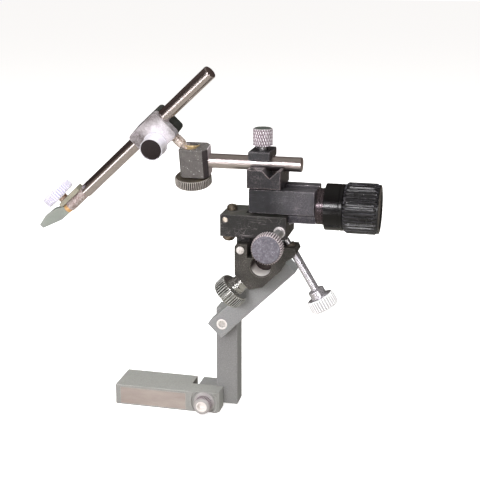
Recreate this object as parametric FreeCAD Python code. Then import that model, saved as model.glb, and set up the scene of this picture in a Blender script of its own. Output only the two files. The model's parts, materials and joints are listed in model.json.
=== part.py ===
import FreeCAD, Part
import math
import os

os.makedirs("parts", exist_ok=True)

# Millimetres. X to the right, Y away from the front, Z up. Origin at the centre of the
# base block's underside.
V = FreeCAD.Vector
X_AXIS = V(1, 0, 0)
Y_AXIS = V(0, 1, 0)
Z_AXIS = V(0, 0, 1)

# Fits shared by every joint
running_gap = 0.05
slide_gap = 0.06
thrust_gap = 0.10
overrun = 1.0
edge = 0.5
fine_edge = 0.25

# Base block with its front ear
base_length = 46.0
base_depth = 24.0
base_height = 13.0
ear_length = 19.5
ear_corner = 2.6
pad_to_spotface = 3.5
pad_height = 10.4
pad_thickness = 0.8
pad_from_left = 3.3
pad_from_bottom = 0.9
fixing_pitch = 28.0
fixing_core = 4.2
fixing_depth = 8.0

# Foot hinge: cap screw through the ear into the foot of the post
foot_x = 33.5
foot_z = 6.4
foot_screw_dia = 6.0
foot_screw_reach = 10.5
cap_dia = 10.6
cap_height = 6.0
cap_key = 5.0
cap_key_depth = 3.2
spotface_dia = 16.4
spotface_depth = 1.0
foot_washer_dia = 13.0

# Post
post_left = 38.4
post_width = 13.0
post_bottom = 1.8
post_top = 63.6
post_depth = 12.0
foot_left = 27.0

# Elbow and upper arm
elbow_x = 44.9
elbow_z = 58.0
arm_angle = 45.0
arm_width = 12.0
arm_depth = 12.0
arm_tail = 6.4
arm_reach = 55.5
elbow_pin_dia = 4.0
elbow_pin_reach = 9.5
elbow_pin_sink = 0.5
elbow_bush_dia = 6.4
elbow_bush_proud = 0.15
head_along = 52.0
head_across = 11.7
head_dia = 17.0

# Planes shared by bracket, slides and V-block, in front of the arm
arm_clearance = 0.5
slide_depth = 24.0
rear_y = -arm_depth - arm_clearance
front_y = rear_y - slide_depth
mid_y = rear_y - slide_depth / 2

# Stub rod that the bracket turns on
stub_dia = 11.3
stub_recess = 11.5
stub_front = front_y + stub_recess
stub_back = -1.5
sleeve_wall = 0.6

# Bracket
bracket_left = 58.6
bracket_low = 89.2
bracket_bottom = 91.1
bracket_bottom_right = 74.3
bracket_top = 115.0
bracket_waist_x = 84.4
bracket_waist_z = 101.2
ear_under_x = 86.6
ear_under_z = 106.4
ear_tip_x = 93.1
ear_tip_z = 111.9
ear_top = 114.6
ear_top_right = 92.0
ear_low_right_x = 91.8
ear_low_right_z = 109.6
ear_thickness = 13.5
ear_start_x = 82.4
upright_width = 7.1
bracket_corner = 1.4
notch_width = 2.8
notch_floor = 107.4
saddle_floor = 110.4
saddle_right = 82.4

# Rod clamp knob on the bracket's lower left flat
clamp_angle = 45.0
clamp_flat = 14.5
clamp_set_back = 1.9
clamp_y = mid_y + clamp_set_back
clamp_stem_dia = 4.4
clamp_washer_dia = 11.0
clamp_washer_thick = 1.2
clamp_hub_dia = 10.4
clamp_flange_dia = 12.4
clamp_flange_start = 17.6
clamp_flange_thick = 1.2
clamp_head_start = 24.7
clamp_head_dia = 19.0
clamp_head_thick = 8.3

# Tilt hinge and tilt screw
pin_x = 61.8
pin_z = 111.5
pin_dia = 4.5
pin_proud = 0.25
tongue_radius = 3.6
tongue_width = 10.0
tongue_slot_floor = 106.8
tongue_slot_right = 68.4
screw_x = 86.5
screw_angle = 120.8
screw_forward = 5.2
screw_y = mid_y - screw_forward
screw_dia = 4.7
tilt_tip_dia = 3.0
tilt_tip_length = 4.0
tilt_contact_gap = 0.10
tilt_bush_dia = 5.9
tilt_bush_proud = 0.8
tilt_bush_length = 4.2
collar_start = 31.6
collar_dia = 9.1
collar_length = 4.5
tilt_head_dia = 16.0
tilt_head_thick = 7.7

# Slide block
slide_left = 50.5
slide_right = 87.3
slide_bottom = 118.9
slide_top = 131.3
lock_x = 54.5
lock_shank_dia = 3.4
lock_shank_depth = 8.0
lock_head_dia = 5.8
lock_head_height = 3.3
lock_slot = 0.9
lock_slot_depth = 0.8
lock_foot_dia = 7.0
lock_foot_height = 3.3
lock_foot_forward = 7.7
lock_foot_y = mid_y - lock_foot_forward
lock_foot_reach = 4.0
set_x = 53.3
set_z = 128.3
set_dia = 3.3
set_length = 4.0
set_sink = 0.5

# Dovetail between slide block and carriage
neck_half = 5.5
flare_half = 7.3
flare_top = 130.6
flare_bottom = 127.5
groove_left = 63.5
groove_floor_gap = 0.10
gib_thickness = 1.3
gib_left = 68.0
gib_right = 86.8
gib_top = 131.1
gib_screw_dia = 3.0
gib_screw_length = 3.2
gib_screw_z = 129.2
gib_screw_xs = (72.0, 82.0)

# Rack and pinion
pinion_from_right = 3.7
pinion_x = slide_right - pinion_from_right
pinion_z = 123.0
module = 0.5
pinion_teeth = 10
pinion_root = 1.85
pinion_tip = 3.0
pinion_root_half = 0.52
pinion_tip_half = 0.15
pinion_width = 6.0
pinion_pocket_gap = 0.25
rack_width = 5.0
rack_reach_left = 13.6
rack_reach_right = 4.9
rack_left = pinion_x - rack_reach_left
rack_right = pinion_x + rack_reach_right
rack_tip_drop = 0.45
rack_root_rise = 0.62
rack_tip_half = 0.18
rack_root_half = 0.56
rack_let_in = 0.8
rack_slot_gap = 0.3
rack_slot_lead = 2.5
rack_slot_left = rack_left - rack_slot_lead
shaft_dia = 5.0
shaft_tail_dia = 3.0
shaft_tail_length = 6.0
pinion_bush_dia = 6.4
pinion_bush_proud = 0.1
coarse_reach = 35.0
coarse_face_y = front_y - coarse_reach
coarse_dia = 16.2
coarse_thick = 8.0
coarse_hub_dia = 9.0
coarse_hub_length = 2.0

# Carriage
carriage_left = 66.5
carriage_right = 102.3
carriage_bottom = 133.1
carriage_top = 146.1
dovetail_left = 67.5

# Fine drive along the carriage
fine_z = 136.0
nut_half = 4.0
nut_top = 141.05
nut_bottom = 131.8
wing_half = 6.0
wing_top = 143.3
slot_left = 70.0
slot_floor = 131.6
tongue_left = 75.2
tongue_right = 84.1
nut_left = 75.6
nut_right = 83.6
lead_dia = 5.0
lead_neck_length = 1.0
lead_tail_dia = 3.0
lead_tail_left = 67.3
journal_dia = 6.0
neck_dia = 20.0
neck_length = 4.6
neck_rings = 2
neck_ring = 0.6
neck_ring_depth = 0.5
barrel_dia = 25.4
barrel_length = 10.2
thrust_dia = 10.0
thrust_thick = 1.9
fine_dia = 27.6
fine_length = 19.0
fine_socket = 12.0
fine_ribs = 22
rib_top_share = 0.66
rib_floor_share = 0.16
rib_depth = 0.95
rib_end_band = 1.6
fine_recess_dia = 21.0
fine_recess_depth = 0.7
fine_set_dia = 3.0
fine_set_from_face = 6.0
fine_set_length = 5.0

# V-block, rod and clamp bridge
vblock_left = 65.6
vblock_right = 84.1
vblock_proud = 1.0
vblock_front = front_y - vblock_proud
vblock_bottom = 146.7
vblock_top = 156.8
cross_notch_x = 78.15
cross_notch_apex = 152.45
witness_dia = 2.0
witness_x = 69.6
witness_forward = 9.1
witness_y = mid_y - witness_forward
witness_depth = 3.0
rod_z = 158.3
rod_dia = 8.0
rod_left = 36.9
rod_right = 93.5
bridge_left = 65.2
bridge_right = 77.2
bridge_reach_front = 8.7
bridge_reach_back = 10.5
bridge_front = mid_y - bridge_reach_front
bridge_back = mid_y + bridge_reach_back
bridge_top = 165.8
bridge_under = 160.8
bridge_leg = 4.4
thumb_x = 71.6
thumb_stem_dia = 4.0
thumb_recess_dia = 7.0
thumb_recess_depth = 0.8
thumb_head_bottom = 168.0
thumb_head_dia = 10.9
thumb_head_height = 9.6

# Joint block, drawn upright and then rolled about the cross rod
joint_roll = 12.5
joint_left = 26.0
joint_right = 41.9
joint_reach_front = 6.5
joint_reach_back = 6.1
joint_front = mid_y - joint_reach_front
joint_back = mid_y + joint_reach_back
joint_bottom = 150.0
joint_top = 166.4
joint_corner_left = 1.3
joint_corner_right = 2.4
joint_corner_back = 2.3
ball_x = 31.6
ball_z = 162.2
ball_dia = 8.6
cup_mouth_dia = 9.6
cup_mouth_depth = 1.5
stud_notch_half = 2.6
stud_notch_floor = 162.6
seat_height = 4.2
seat_bottom = 155.6
plug_top = 154.0
joint_stem_dia = 5.0
joint_neck_dia = 8.2
joint_knob_top = 148.9
joint_knob_bottom = 143.4
joint_knob_dia = 20.6

# Holder rod and cross clamp, measured along and across the rod
holder_x = -32.2
holder_z = 137.0
holder_angle = 43.0
holder_forward = 3.5
holder_y = mid_y - holder_forward
holder_dia = 7.5
holder_length = 107.7
scribe_at = 86.1
scribe_width = 0.4
scribe_depth = 0.15
stud_dia = 4.5
stud_seat = 5.5
stud_neck_dia = 4.2
stud_neck_end = 6.2
stud_shank_dia = 5.6
stud_cone = 1.0
clamp_along = 58.6
clamp_length = 22.4
clamp_upper = 5.4
clamp_lower = -12.0
clamp_plate_thick = 5.0
clamp_rear_thick = 9.5
clamp_split = 0.4
clamp_corner = 2.2
cross_knob_across = -7.3
cross_knob_back = 1.6
cross_knob_dia = 12.6
cross_knob_length = 8.8
cross_flange_dia = 16.2
cross_flange_thick = 1.2
cross_stem_dia = 4.0
cross_stem_reach = 11.0

# Electrode grip at the rod's lower end
grip_sleeve_dia = 6.4
grip_sleeve_length = 14.6
grip_spigot_dia = 4.0
grip_spigot_length = 6.0
grip_ring_dia = 5.4
grip_ring_length = 3.0
grip_core_dia = 3.2
grip_screw_along = -14.2
grip_screw_dia = 2.6
plate_high = 5.4
plate_left = -17.6
plate_right = -0.9
plate_width = 6.4
jaw_thick = 3.6
jaw_start = -17.7
jaw_root_low = -2.4
jaw_root_high = 2.6
jaw_cheek = -24.6
jaw_cheek_high = 5.4
jaw_crown = -32.2
jaw_crown_high = 5.9
jaw_end = -38.6
jaw_end_low = 1.8
jaw_end_high = 4.6
grip_knob_low = 7.5
grip_knob_high = 13.5
grip_knob_dia = 19.0
grip_hub_dia = 5.6

# Knurls
knurl_depth = 0.55
coarse_teeth = 30
clamp_teeth = 30
tilt_teeth = 30
joint_teeth = 32
grip_teeth = 30
thumb_teeth = 24


def box(x0, x1, y0, y1, z0, z1):
    return Part.makeBox(x1 - x0, y1 - y0, z1 - z0, V(x0, y0, z0))


def rod(radius, start, direction, length):
    return Part.makeCylinder(radius, length, start, direction)


def rod_y(dia, x, z, y0, y1):
    return rod(dia / 2, V(x, y0, z), Y_AXIS, y1 - y0)


def rod_x(dia, y, z, x0, x1):
    return rod(dia / 2, V(x0, y, z), X_AXIS, x1 - x0)


def rod_z_up(dia, x, y, z0, z1):
    return rod(dia / 2, V(x, y, z0), Z_AXIS, z1 - z0)


def prism(points, push):
    wire = Part.makePolygon(points + [points[0]])
    return Part.Face(wire).extrude(push)


def prism_y(outline, y0, y1):
    return prism([V(x, y0, z) for x, z in outline], V(0, y1 - y0, 0))


def prism_x(outline, x0, x1):
    return prism([V(x0, y, z) for y, z in outline], V(x1 - x0, 0, 0))


def hexagon_hole(flats, start, direction, depth):
    radius = flats / math.sqrt(3)
    turn = FreeCAD.Rotation(Z_AXIS, V(direction))
    corners = []
    for k in range(6):
        a = math.radians(60 * k)
        corners.append(start + turn.multVec(V(radius * math.cos(a), radius * math.sin(a), 0)))
    return prism(corners, direction * depth)


def bevel_edges(shape, picks, size):
    chosen = [e for e in shape.Edges if picks(e)]
    return shape.makeChamfer(size, chosen)


def near_value(a, b):
    return abs(a - b) < fine_edge / 2


def outer_box_edges(x0, x1, y0, y1, z0, z1):
    # Edges that lie on two of the six sides of the given box
    def picks(e):
        b = e.BoundBox
        sides = 0
        for low, high, start, end in ((x0, x1, b.XMin, b.XMax), (y0, y1, b.YMin, b.YMax),
                                      (z0, z1, b.ZMin, b.ZMax)):
            flat = near_value(start, end)
            sides += flat and (near_value(start, low) or near_value(end, high))
        return sides >= 2 and e.Length > edge
    return picks


def rim_at(axis, place, least=edge):
    # Edges lying flat across the given axis ("X", "Y" or "Z") at one place
    def picks(e):
        low = getattr(e.BoundBox, axis + "Min")
        high = getattr(e.BoundBox, axis + "Max")
        return near_value(low, place) and near_value(high, place) and e.Length > least
    return picks


def soft_box(x0, x1, y0, y1, z0, z1, size):
    return bevel_edges(box(x0, x1, y0, y1, z0, z1), outer_box_edges(x0, x1, y0, y1, z0, z1), size)


def turned(profile, start, direction):
    # Solid of revolution from (along, radius) pairs about the line start + direction
    points = [V(radius, 0, along) for along, radius in profile]
    face = Part.Face(Part.makePolygon(points + [points[0]]))
    solid = face.revolve(V(0, 0, 0), Z_AXIS, 360)
    solid.Placement = FreeCAD.Placement(start, FreeCAD.Rotation(Z_AXIS, V(direction)))
    return solid


def knurled(dia, length, teeth, depth, bevel):
    # Toothed band on a bevelled core that stays inside the teeth, along Z from the origin
    outer = dia / 2
    floor = outer - depth
    corners = []
    for k in range(2 * teeth):
        radius = outer if k % 2 else floor
        a = math.pi * k / teeth
        corners.append(V(radius * math.cos(a), radius * math.sin(a), bevel))
    band = prism(corners, V(0, 0, length - 2 * bevel))
    inner = floor - fine_edge
    low = inner - bevel
    core = [(0, 0), (0, low), (bevel, inner), (length - bevel, inner), (length, low), (length, 0)]
    return band.fuse(turned(core, V(0, 0, 0), Z_AXIS))


def knurled_at(start, direction, dia, length, teeth, depth, bevel):
    head = knurled(dia, length, teeth, depth, bevel)
    head.Placement = FreeCAD.Placement(start, FreeCAD.Rotation(Z_AXIS, V(direction)))
    return head


def save(shape, name):
    solid = shape.removeSplitter()
    solid.exportStep("parts/" + name + ".step")


# Directions in the XZ plane
def in_plane(degrees):
    a = math.radians(degrees)
    return V(math.cos(a), 0, math.sin(a))


arm_along = in_plane(arm_angle)
arm_across = in_plane(arm_angle + 90)
elbow = V(elbow_x, 0, elbow_z)
bore = elbow + arm_along * head_along + arm_across * head_across
sleeve_bore = stub_dia + 2 * running_gap
sleeve_dia = sleeve_bore + 2 * sleeve_wall
half_depth = base_depth / 2
base_left = -base_length / 2
base_right = base_length / 2
pad_left = base_left + pad_from_left
pad_right = foot_x - spotface_dia / 2 - pad_to_spotface


# Base block
def make_base():
    block = box(base_left, base_right, -half_depth, half_depth, 0, base_height)
    ear = box(base_right - overrun, base_right + ear_length, -half_depth, 0, 0, base_height)
    ear_end = base_right + ear_length
    ear_front = outer_box_edges(ear_end, ear_end, -half_depth, -half_depth, -overrun, -overrun)
    ear = bevel_edges(ear, ear_front, ear_corner)
    body = block.fuse(ear).removeSplitter()
    rims = outer_box_edges(base_left, ear_end, -half_depth, half_depth, 0, base_height)
    body = bevel_edges(body, rims, fine_edge)
    pocket = box(pad_left, pad_right, -half_depth - overrun, -half_depth + pad_thickness,
                 pad_from_bottom, pad_from_bottom + pad_height)
    body = body.cut(pocket)
    front = -half_depth - overrun
    body = body.cut(rod_y(spotface_dia, foot_x, foot_z, front, -half_depth + spotface_depth))
    body = body.cut(rod_y(foot_screw_dia + 2 * running_gap, foot_x, foot_z, front, overrun))
    for side in (-1, 1):
        body = body.cut(rod_z_up(fixing_core, side * fixing_pitch / 2, 0, -overrun, fixing_depth))
    return body


def make_pad():
    return box(pad_left, pad_right, -half_depth + fine_edge / 2, -half_depth + pad_thickness,
               pad_from_bottom, pad_from_bottom + pad_height)


# Post with its foot
def make_post():
    column = box(post_left, post_left + post_width, thrust_gap, post_depth, post_bottom, post_top)
    foot_top = base_height - fine_edge
    foot = box(foot_left, post_left + overrun, thrust_gap, post_depth, post_bottom, foot_top)
    body = column.fuse(foot).removeSplitter()
    right = post_left + post_width
    rims = outer_box_edges(foot_left, right, thrust_gap, post_depth, post_bottom, post_top)
    body = bevel_edges(body, rims, edge)
    body = body.cut(rod_y(foot_screw_dia, foot_x, foot_z, -overrun, foot_screw_reach))
    return body.cut(rod_y(elbow_pin_dia, elbow_x, elbow_z, -overrun, elbow_pin_reach))


def make_foot_screw():
    seat = -half_depth
    head = rod_y(cap_dia, foot_x, foot_z, seat - cap_height, seat)
    head = bevel_edges(head, rim_at("Y", seat - cap_height), edge)
    head = head.cut(hexagon_hole(cap_key, V(foot_x, seat - cap_height, foot_z), Y_AXIS, cap_key_depth))
    return head.fuse(rod_y(foot_screw_dia, foot_x, foot_z, seat - fine_edge, foot_screw_reach))


def make_foot_washer():
    outer = rod_y(foot_washer_dia, foot_x, foot_z, -half_depth, -half_depth + spotface_depth)
    return outer.cut(rod_y(foot_screw_dia, foot_x, foot_z, -half_depth - overrun, overrun))


# Upper arm with the head that carries the stub rod
def arm_point(along, across, y):
    p = elbow + arm_along * along + arm_across * across
    return V(p.x, y, p.z)


def make_arm():
    half = arm_width / 2
    corners = [arm_point(-arm_tail, -half, -arm_depth), arm_point(arm_reach, -half, -arm_depth),
               arm_point(arm_reach, half, -arm_depth), arm_point(-arm_tail, half, -arm_depth)]
    bar = prism(corners, V(0, arm_depth, 0))
    bar = bar.makeChamfer(fine_edge, bar.Edges)
    head = rod_y(head_dia, bore.x, bore.z, -arm_depth, 0)
    head = bevel_edges(head, rim_at("Y", -arm_depth), fine_edge)
    head = bevel_edges(head, rim_at("Y", 0), fine_edge)
    web_start = head_along - head_dia / 2
    web_front = -arm_depth + edge
    web = [arm_point(web_start, 0, web_front), arm_point(arm_reach, 0, web_front),
           arm_point(arm_reach, head_across, web_front), arm_point(web_start, head_across, web_front)]
    body = bar.fuse(head).fuse(prism(web, V(0, arm_depth - 2 * edge, 0)))
    body = body.cut(rod_y(stub_dia, bore.x, bore.z, -arm_depth - overrun, stub_back))
    return body.cut(rod_y(elbow_bush_dia, elbow_x, elbow_z, -arm_depth - overrun, overrun))


def make_elbow_bush():
    front = -arm_depth - elbow_bush_proud
    ring = rod_y(elbow_bush_dia, elbow_x, elbow_z, front, 0)
    ring = bevel_edges(ring, rim_at("Y", front), elbow_bush_proud)
    hole = elbow_pin_dia + 2 * running_gap
    return ring.cut(rod_y(hole, elbow_x, elbow_z, front - overrun, overrun))


def make_elbow_pin():
    return rod_y(elbow_pin_dia, elbow_x, elbow_z, -arm_depth + elbow_pin_sink, elbow_pin_reach)


def make_stub():
    body = rod_y(stub_dia, bore.x, bore.z, stub_front, stub_back)
    return bevel_edges(body, rim_at("Y", stub_front), edge)


# Bracket
clamp_out = in_plane(clamp_angle + 180)
flat_centre = bore + clamp_out * clamp_flat
flat_along = in_plane(clamp_angle - 90)
clamp_centre = V(bore.x, clamp_y, bore.z)


def flat_at_x(x):
    return flat_centre.z + (x - flat_centre.x) / flat_along.x * flat_along.z


def flat_at_z(z):
    return flat_centre.x + (z - flat_centre.z) / flat_along.z * flat_along.x


screw_up = in_plane(screw_angle)
contact = V(screw_x, screw_y, slide_bottom)
tip_centre = contact - V(0, 0, tilt_tip_dia / 2) - screw_up * tilt_contact_gap


def screw_point(back):
    return tip_centre - screw_up * back


def bush_top():
    return (tip_centre.z - ear_top) / screw_up.z - tilt_bush_proud


def make_bracket():
    outline = [(bracket_left, flat_at_x(bracket_left)), (flat_at_z(bracket_low), bracket_low),
               (bracket_bottom_right, bracket_bottom), (bracket_waist_x, bracket_waist_z),
               (ear_under_x, ear_under_z), (ear_low_right_x, ear_low_right_z), (ear_tip_x, ear_tip_z),
               (ear_top_right, ear_top), (saddle_right, ear_top), (saddle_right, saddle_floor),
               (bracket_left + upright_width + notch_width, saddle_floor),
               (bracket_left + upright_width + notch_width, notch_floor),
               (bracket_left + upright_width, notch_floor), (bracket_left + upright_width, bracket_top),
               (bracket_left + bracket_corner, bracket_top), (bracket_left, bracket_top - bracket_corner)]
    body = prism_y(outline, front_y, rear_y)
    front_edges = [e for e in body.Edges if e.BoundBox.YMax < front_y + fine_edge]
    body = body.makeChamfer(fine_edge, front_edges)
    body = body.cut(box(ear_start_x, ear_tip_x + overrun, front_y + ear_thickness, rear_y + overrun,
                        bracket_waist_z - overrun, bracket_top + overrun))
    half = tongue_width / 2 + thrust_gap
    body = body.cut(box(bracket_left - overrun, tongue_slot_right, mid_y - half, mid_y + half,
                        tongue_slot_floor, bracket_top + overrun))
    body = body.cut(rod_y(sleeve_dia, bore.x, bore.z, front_y - overrun, rear_y + overrun))
    body = body.cut(rod_y(pin_dia, pin_x, pin_z, front_y - overrun, rear_y + overrun))
    body = body.cut(rod(clamp_stem_dia / 2 + running_gap, clamp_centre, clamp_out, clamp_flat + overrun))
    through = collar_start / 2
    down = screw_up * -1
    body = body.cut(rod(screw_dia / 2 + running_gap, screw_point(0), down, through))
    seat = bush_top() + tilt_bush_length + tilt_bush_proud
    return body.cut(rod(tilt_bush_dia / 2, screw_point(0), down, seat))


def make_bore_sleeve():
    body = rod_y(sleeve_dia, bore.x, bore.z, front_y + fine_edge / 2, rear_y)
    body = body.cut(rod_y(sleeve_bore, bore.x, bore.z, front_y - overrun, rear_y + overrun))
    return body.cut(rod(clamp_stem_dia / 2 + running_gap, clamp_centre, clamp_out, clamp_flat))


def make_clamp_washer():
    start = clamp_centre + clamp_out * clamp_flat
    body = rod(clamp_washer_dia / 2, start, clamp_out, clamp_washer_thick)
    body = body.makeChamfer(fine_edge, [e for e in body.Edges if e.Length > clamp_washer_dia])
    hole = clamp_stem_dia / 2 + running_gap
    return body.cut(rod(hole, clamp_centre, clamp_out, clamp_flat + clamp_washer_thick + overrun))


def make_rod_clamp_knob():
    seat = clamp_flat + clamp_washer_thick + thrust_gap
    tip = stub_dia / 2 + running_gap
    stem_start = clamp_centre + clamp_out * tip
    stem = rod(clamp_stem_dia / 2, stem_start, clamp_out, seat - tip + fine_edge)
    hub_length = clamp_head_start - seat + edge
    hub_radius = clamp_hub_dia / 2
    flange = clamp_flange_start - seat
    flange_radius = clamp_flange_dia / 2
    hub_profile = [(0, 0), (0, hub_radius - edge), (edge, hub_radius), (flange, hub_radius),
                   (flange, flange_radius), (flange + clamp_flange_thick, flange_radius),
                   (flange + clamp_flange_thick, hub_radius), (hub_length, hub_radius), (hub_length, 0)]
    hub = turned(hub_profile, clamp_centre + clamp_out * seat, clamp_out)
    head_start = clamp_centre + clamp_out * clamp_head_start
    head = knurled_at(head_start, clamp_out, clamp_head_dia, clamp_head_thick, clamp_teeth,
                      knurl_depth, edge)
    return stem.fuse(hub).fuse(head)


def make_tilt_pin():
    front = front_y - pin_proud
    body = rod_y(pin_dia, pin_x, pin_z, front, rear_y)
    return bevel_edges(body, rim_at("Y", front), pin_proud)


# Tilt screw group, along the line from the contact point down to the right
def make_tilt_bush():
    length = tilt_bush_length + tilt_bush_proud
    body = rod(tilt_bush_dia / 2, screw_point(bush_top()), screw_up * -1, length)
    body = body.makeChamfer(fine_edge, [e for e in body.Edges if e.Length > tilt_bush_dia])
    reach = bush_top() + length + overrun
    return body.cut(rod(screw_dia / 2 + running_gap, screw_point(0), screw_up * -1, reach))


def make_tilt_tip():
    nose = Part.makeSphere(tilt_tip_dia / 2, tip_centre)
    return nose.fuse(rod(tilt_tip_dia / 2, tip_centre, screw_up * -1, tilt_tip_length))


def make_tilt_screw():
    down = screw_up * -1
    start = screw_point(tilt_tip_length + running_gap)
    shaft = rod(screw_dia / 2, start, down, collar_start - tilt_tip_length)
    collar_at = screw_point(collar_start)
    collar = rod(collar_dia / 2, collar_at, down, collar_length + edge)
    collar = collar.makeChamfer(edge, [e for e in collar.Edges if e.Length > collar_dia])
    head = knurled_at(collar_at + down * collar_length, down, tilt_head_dia, tilt_head_thick, tilt_teeth,
                      knurl_depth, edge)
    return shaft.fuse(collar).fuse(head)


# Dovetail outlines in the YZ plane, front and rear allowances given apart
def dovetail(front_extra, rear_extra, floor, roof):
    slope = (flare_half - neck_half) / (flare_top - flare_bottom)
    spread = flare_half + slope * (flare_bottom - floor)
    return [(mid_y - neck_half - front_extra, roof), (mid_y - neck_half - front_extra, flare_top),
            (mid_y - spread - front_extra, floor), (mid_y + spread + rear_extra, floor),
            (mid_y + neck_half + rear_extra, flare_top), (mid_y + neck_half + rear_extra, roof)]


pitch_radius = module * pinion_teeth / 2
pitch_z = pinion_z + pitch_radius
rack_pitch = math.pi * module
pinion_front = mid_y - pinion_width / 2


def make_slide_block():
    body = soft_box(slide_left, slide_right, front_y, rear_y, slide_bottom, slide_top, fine_edge)
    tongue = box(pin_x - tongue_radius, pin_x + tongue_radius, mid_y - tongue_width / 2,
                 mid_y + tongue_width / 2, pin_z, slide_bottom + edge)
    lobe = rod_y(2 * tongue_radius, pin_x, pin_z, mid_y - tongue_width / 2, mid_y + tongue_width / 2)
    body = body.fuse(tongue).fuse(lobe)
    body = body.cut(rod_y(pin_dia + 2 * running_gap, pin_x, pin_z, front_y, rear_y))
    floor = flare_bottom - groove_floor_gap
    groove = dovetail(slide_gap, slide_gap + gib_thickness, floor, slide_top + overrun)
    body = body.cut(prism_x(groove, groove_left, slide_right + overrun))
    half = rack_width / 2 + rack_slot_gap
    body = body.cut(box(rack_slot_left, slide_right + overrun, mid_y - half, mid_y + half,
                        pitch_z - rack_tip_drop - rack_slot_gap, flare_bottom))
    pinion_back = pinion_front + pinion_width
    pocket_dia = 2 * (pinion_tip + pinion_pocket_gap)
    body = body.cut(rod_y(pocket_dia, pinion_x, pinion_z, pinion_front - 2 * thrust_gap,
                          pinion_back + 2 * thrust_gap))
    body = body.cut(rod_y(pinion_bush_dia, pinion_x, pinion_z, front_y - overrun, pinion_front))
    body = body.cut(rod_y(shaft_tail_dia + 2 * running_gap, pinion_x, pinion_z, pinion_front,
                          pinion_back + shaft_tail_length + edge))
    body = body.cut(rod_z_up(lock_shank_dia, lock_x, mid_y, slide_top - lock_shank_depth,
                             slide_top + overrun))
    body = body.cut(rod_z_up(lock_shank_dia, lock_x, lock_foot_y, slide_bottom - overrun,
                             slide_bottom + lock_foot_reach))
    body = body.cut(rod_y(set_dia, set_x, set_z, front_y - overrun, front_y + set_sink + set_length))
    for x in gib_screw_xs:
        body = body.cut(rod_y(gib_screw_dia, x, gib_screw_z, mid_y + neck_half, rear_y + overrun))
    return body


def make_gib():
    full = dovetail(0, slide_gap + gib_thickness, flare_bottom, gib_top)
    inner = dovetail(overrun, running_gap, flare_bottom - overrun, gib_top + overrun)
    strip = prism_x(full, gib_left, gib_right)
    strip = strip.cut(prism_x(inner, gib_left - overrun, gib_right + overrun))
    keep = box(gib_left, gib_right, mid_y, rear_y, flare_bottom, gib_top)
    return strip.common(keep)


def make_gib_screw(x):
    end = rear_y - fine_edge
    body = rod_y(gib_screw_dia, x, gib_screw_z, end - gib_screw_length, end)
    return body.cut(hexagon_hole(gib_screw_dia / 2, V(x, end, gib_screw_z), Y_AXIS * -1, overrun))


def make_lock_screw():
    low = slide_top - lock_shank_depth
    top = slide_top + lock_head_height
    shank = rod_z_up(lock_shank_dia, lock_x, mid_y, low, slide_top)
    head = rod_z_up(lock_head_dia, lock_x, mid_y, slide_top, top)
    head = bevel_edges(head, rim_at("Z", top), edge)
    head = head.cut(box(lock_x - lock_head_dia, lock_x + lock_head_dia, mid_y - lock_slot / 2,
                        mid_y + lock_slot / 2, top - lock_slot_depth, top + overrun))
    return shank.fuse(head)


def make_lock_foot():
    low = slide_bottom - lock_foot_height
    body = rod_z_up(lock_foot_dia, lock_x, lock_foot_y, low, slide_bottom)
    body = bevel_edges(body, rim_at("Z", low), edge)
    return body.fuse(rod_z_up(lock_shank_dia, lock_x, lock_foot_y, slide_bottom - fine_edge,
                              slide_bottom + lock_foot_reach))


def make_set_pin():
    start = front_y + set_sink
    body = rod_y(set_dia, set_x, set_z, start, start + set_length)
    return bevel_edges(body, rim_at("Y", start), fine_edge)


# Rack and pinion
def make_pinion():
    corners = []
    for k in range(pinion_teeth):
        a = math.radians(90 + 360 * k / pinion_teeth)
        out = V(math.cos(a), 0, math.sin(a))
        side = V(-math.sin(a), 0, math.cos(a))
        for radius, half in ((pinion_root, -pinion_root_half), (pinion_tip, -pinion_tip_half),
                             (pinion_tip, pinion_tip_half), (pinion_root, pinion_root_half)):
            corners.append(V(pinion_x, pinion_front, pinion_z) + out * radius + side * half)
    gear = prism(corners, V(0, pinion_width, 0))
    back = pinion_front + pinion_width
    shaft = rod_y(shaft_dia, pinion_x, pinion_z, coarse_face_y + coarse_thick, pinion_front - thrust_gap)
    core = rod_y(2 * pinion_root, pinion_x, pinion_z, pinion_front - edge, pinion_front + edge)
    tail = rod_y(shaft_tail_dia, pinion_x, pinion_z, back - edge, back + shaft_tail_length)
    return gear.fuse(shaft).fuse(core).fuse(tail)


def make_rack():
    low = pitch_z - rack_tip_drop
    high = flare_bottom + rack_let_in
    half = rack_width / 2
    body = box(rack_left, rack_right, mid_y - half, mid_y + half, low, high)
    root = pitch_z + rack_root_rise
    gap_low = rack_pitch / 2 - rack_tip_half
    gap_high = rack_pitch / 2 - rack_root_half
    first = math.ceil((rack_left - pinion_x) / rack_pitch)
    last = math.floor((rack_right - pinion_x) / rack_pitch)
    for k in range(first, last + 1):
        x = pinion_x + k * rack_pitch
        gap = [(x - gap_low, low - fine_edge), (x + gap_low, low - fine_edge), (x + gap_low, low),
               (x + gap_high, root), (x - gap_high, root), (x - gap_low, low)]
        body = body.cut(prism_y(gap, mid_y - half - overrun, mid_y + half + overrun))
    return body


def make_pinion_bush():
    back = pinion_front - 2 * thrust_gap
    body = rod_y(pinion_bush_dia, pinion_x, pinion_z, front_y - pinion_bush_proud, back)
    hole = shaft_dia + 2 * running_gap
    return body.cut(rod_y(hole, pinion_x, pinion_z, front_y - overrun, pinion_front))


def make_coarse_knob():
    start = V(pinion_x, coarse_face_y, pinion_z)
    head = knurled_at(start, Y_AXIS, coarse_dia, coarse_thick, coarse_teeth, knurl_depth, edge)
    back = coarse_face_y + coarse_thick
    hub_back = back + coarse_hub_length
    hub = rod_y(coarse_hub_dia, pinion_x, pinion_z, back - edge, hub_back)
    return head.fuse(hub).cut(rod_y(shaft_dia, pinion_x, pinion_z, back, hub_back + overrun))


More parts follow.
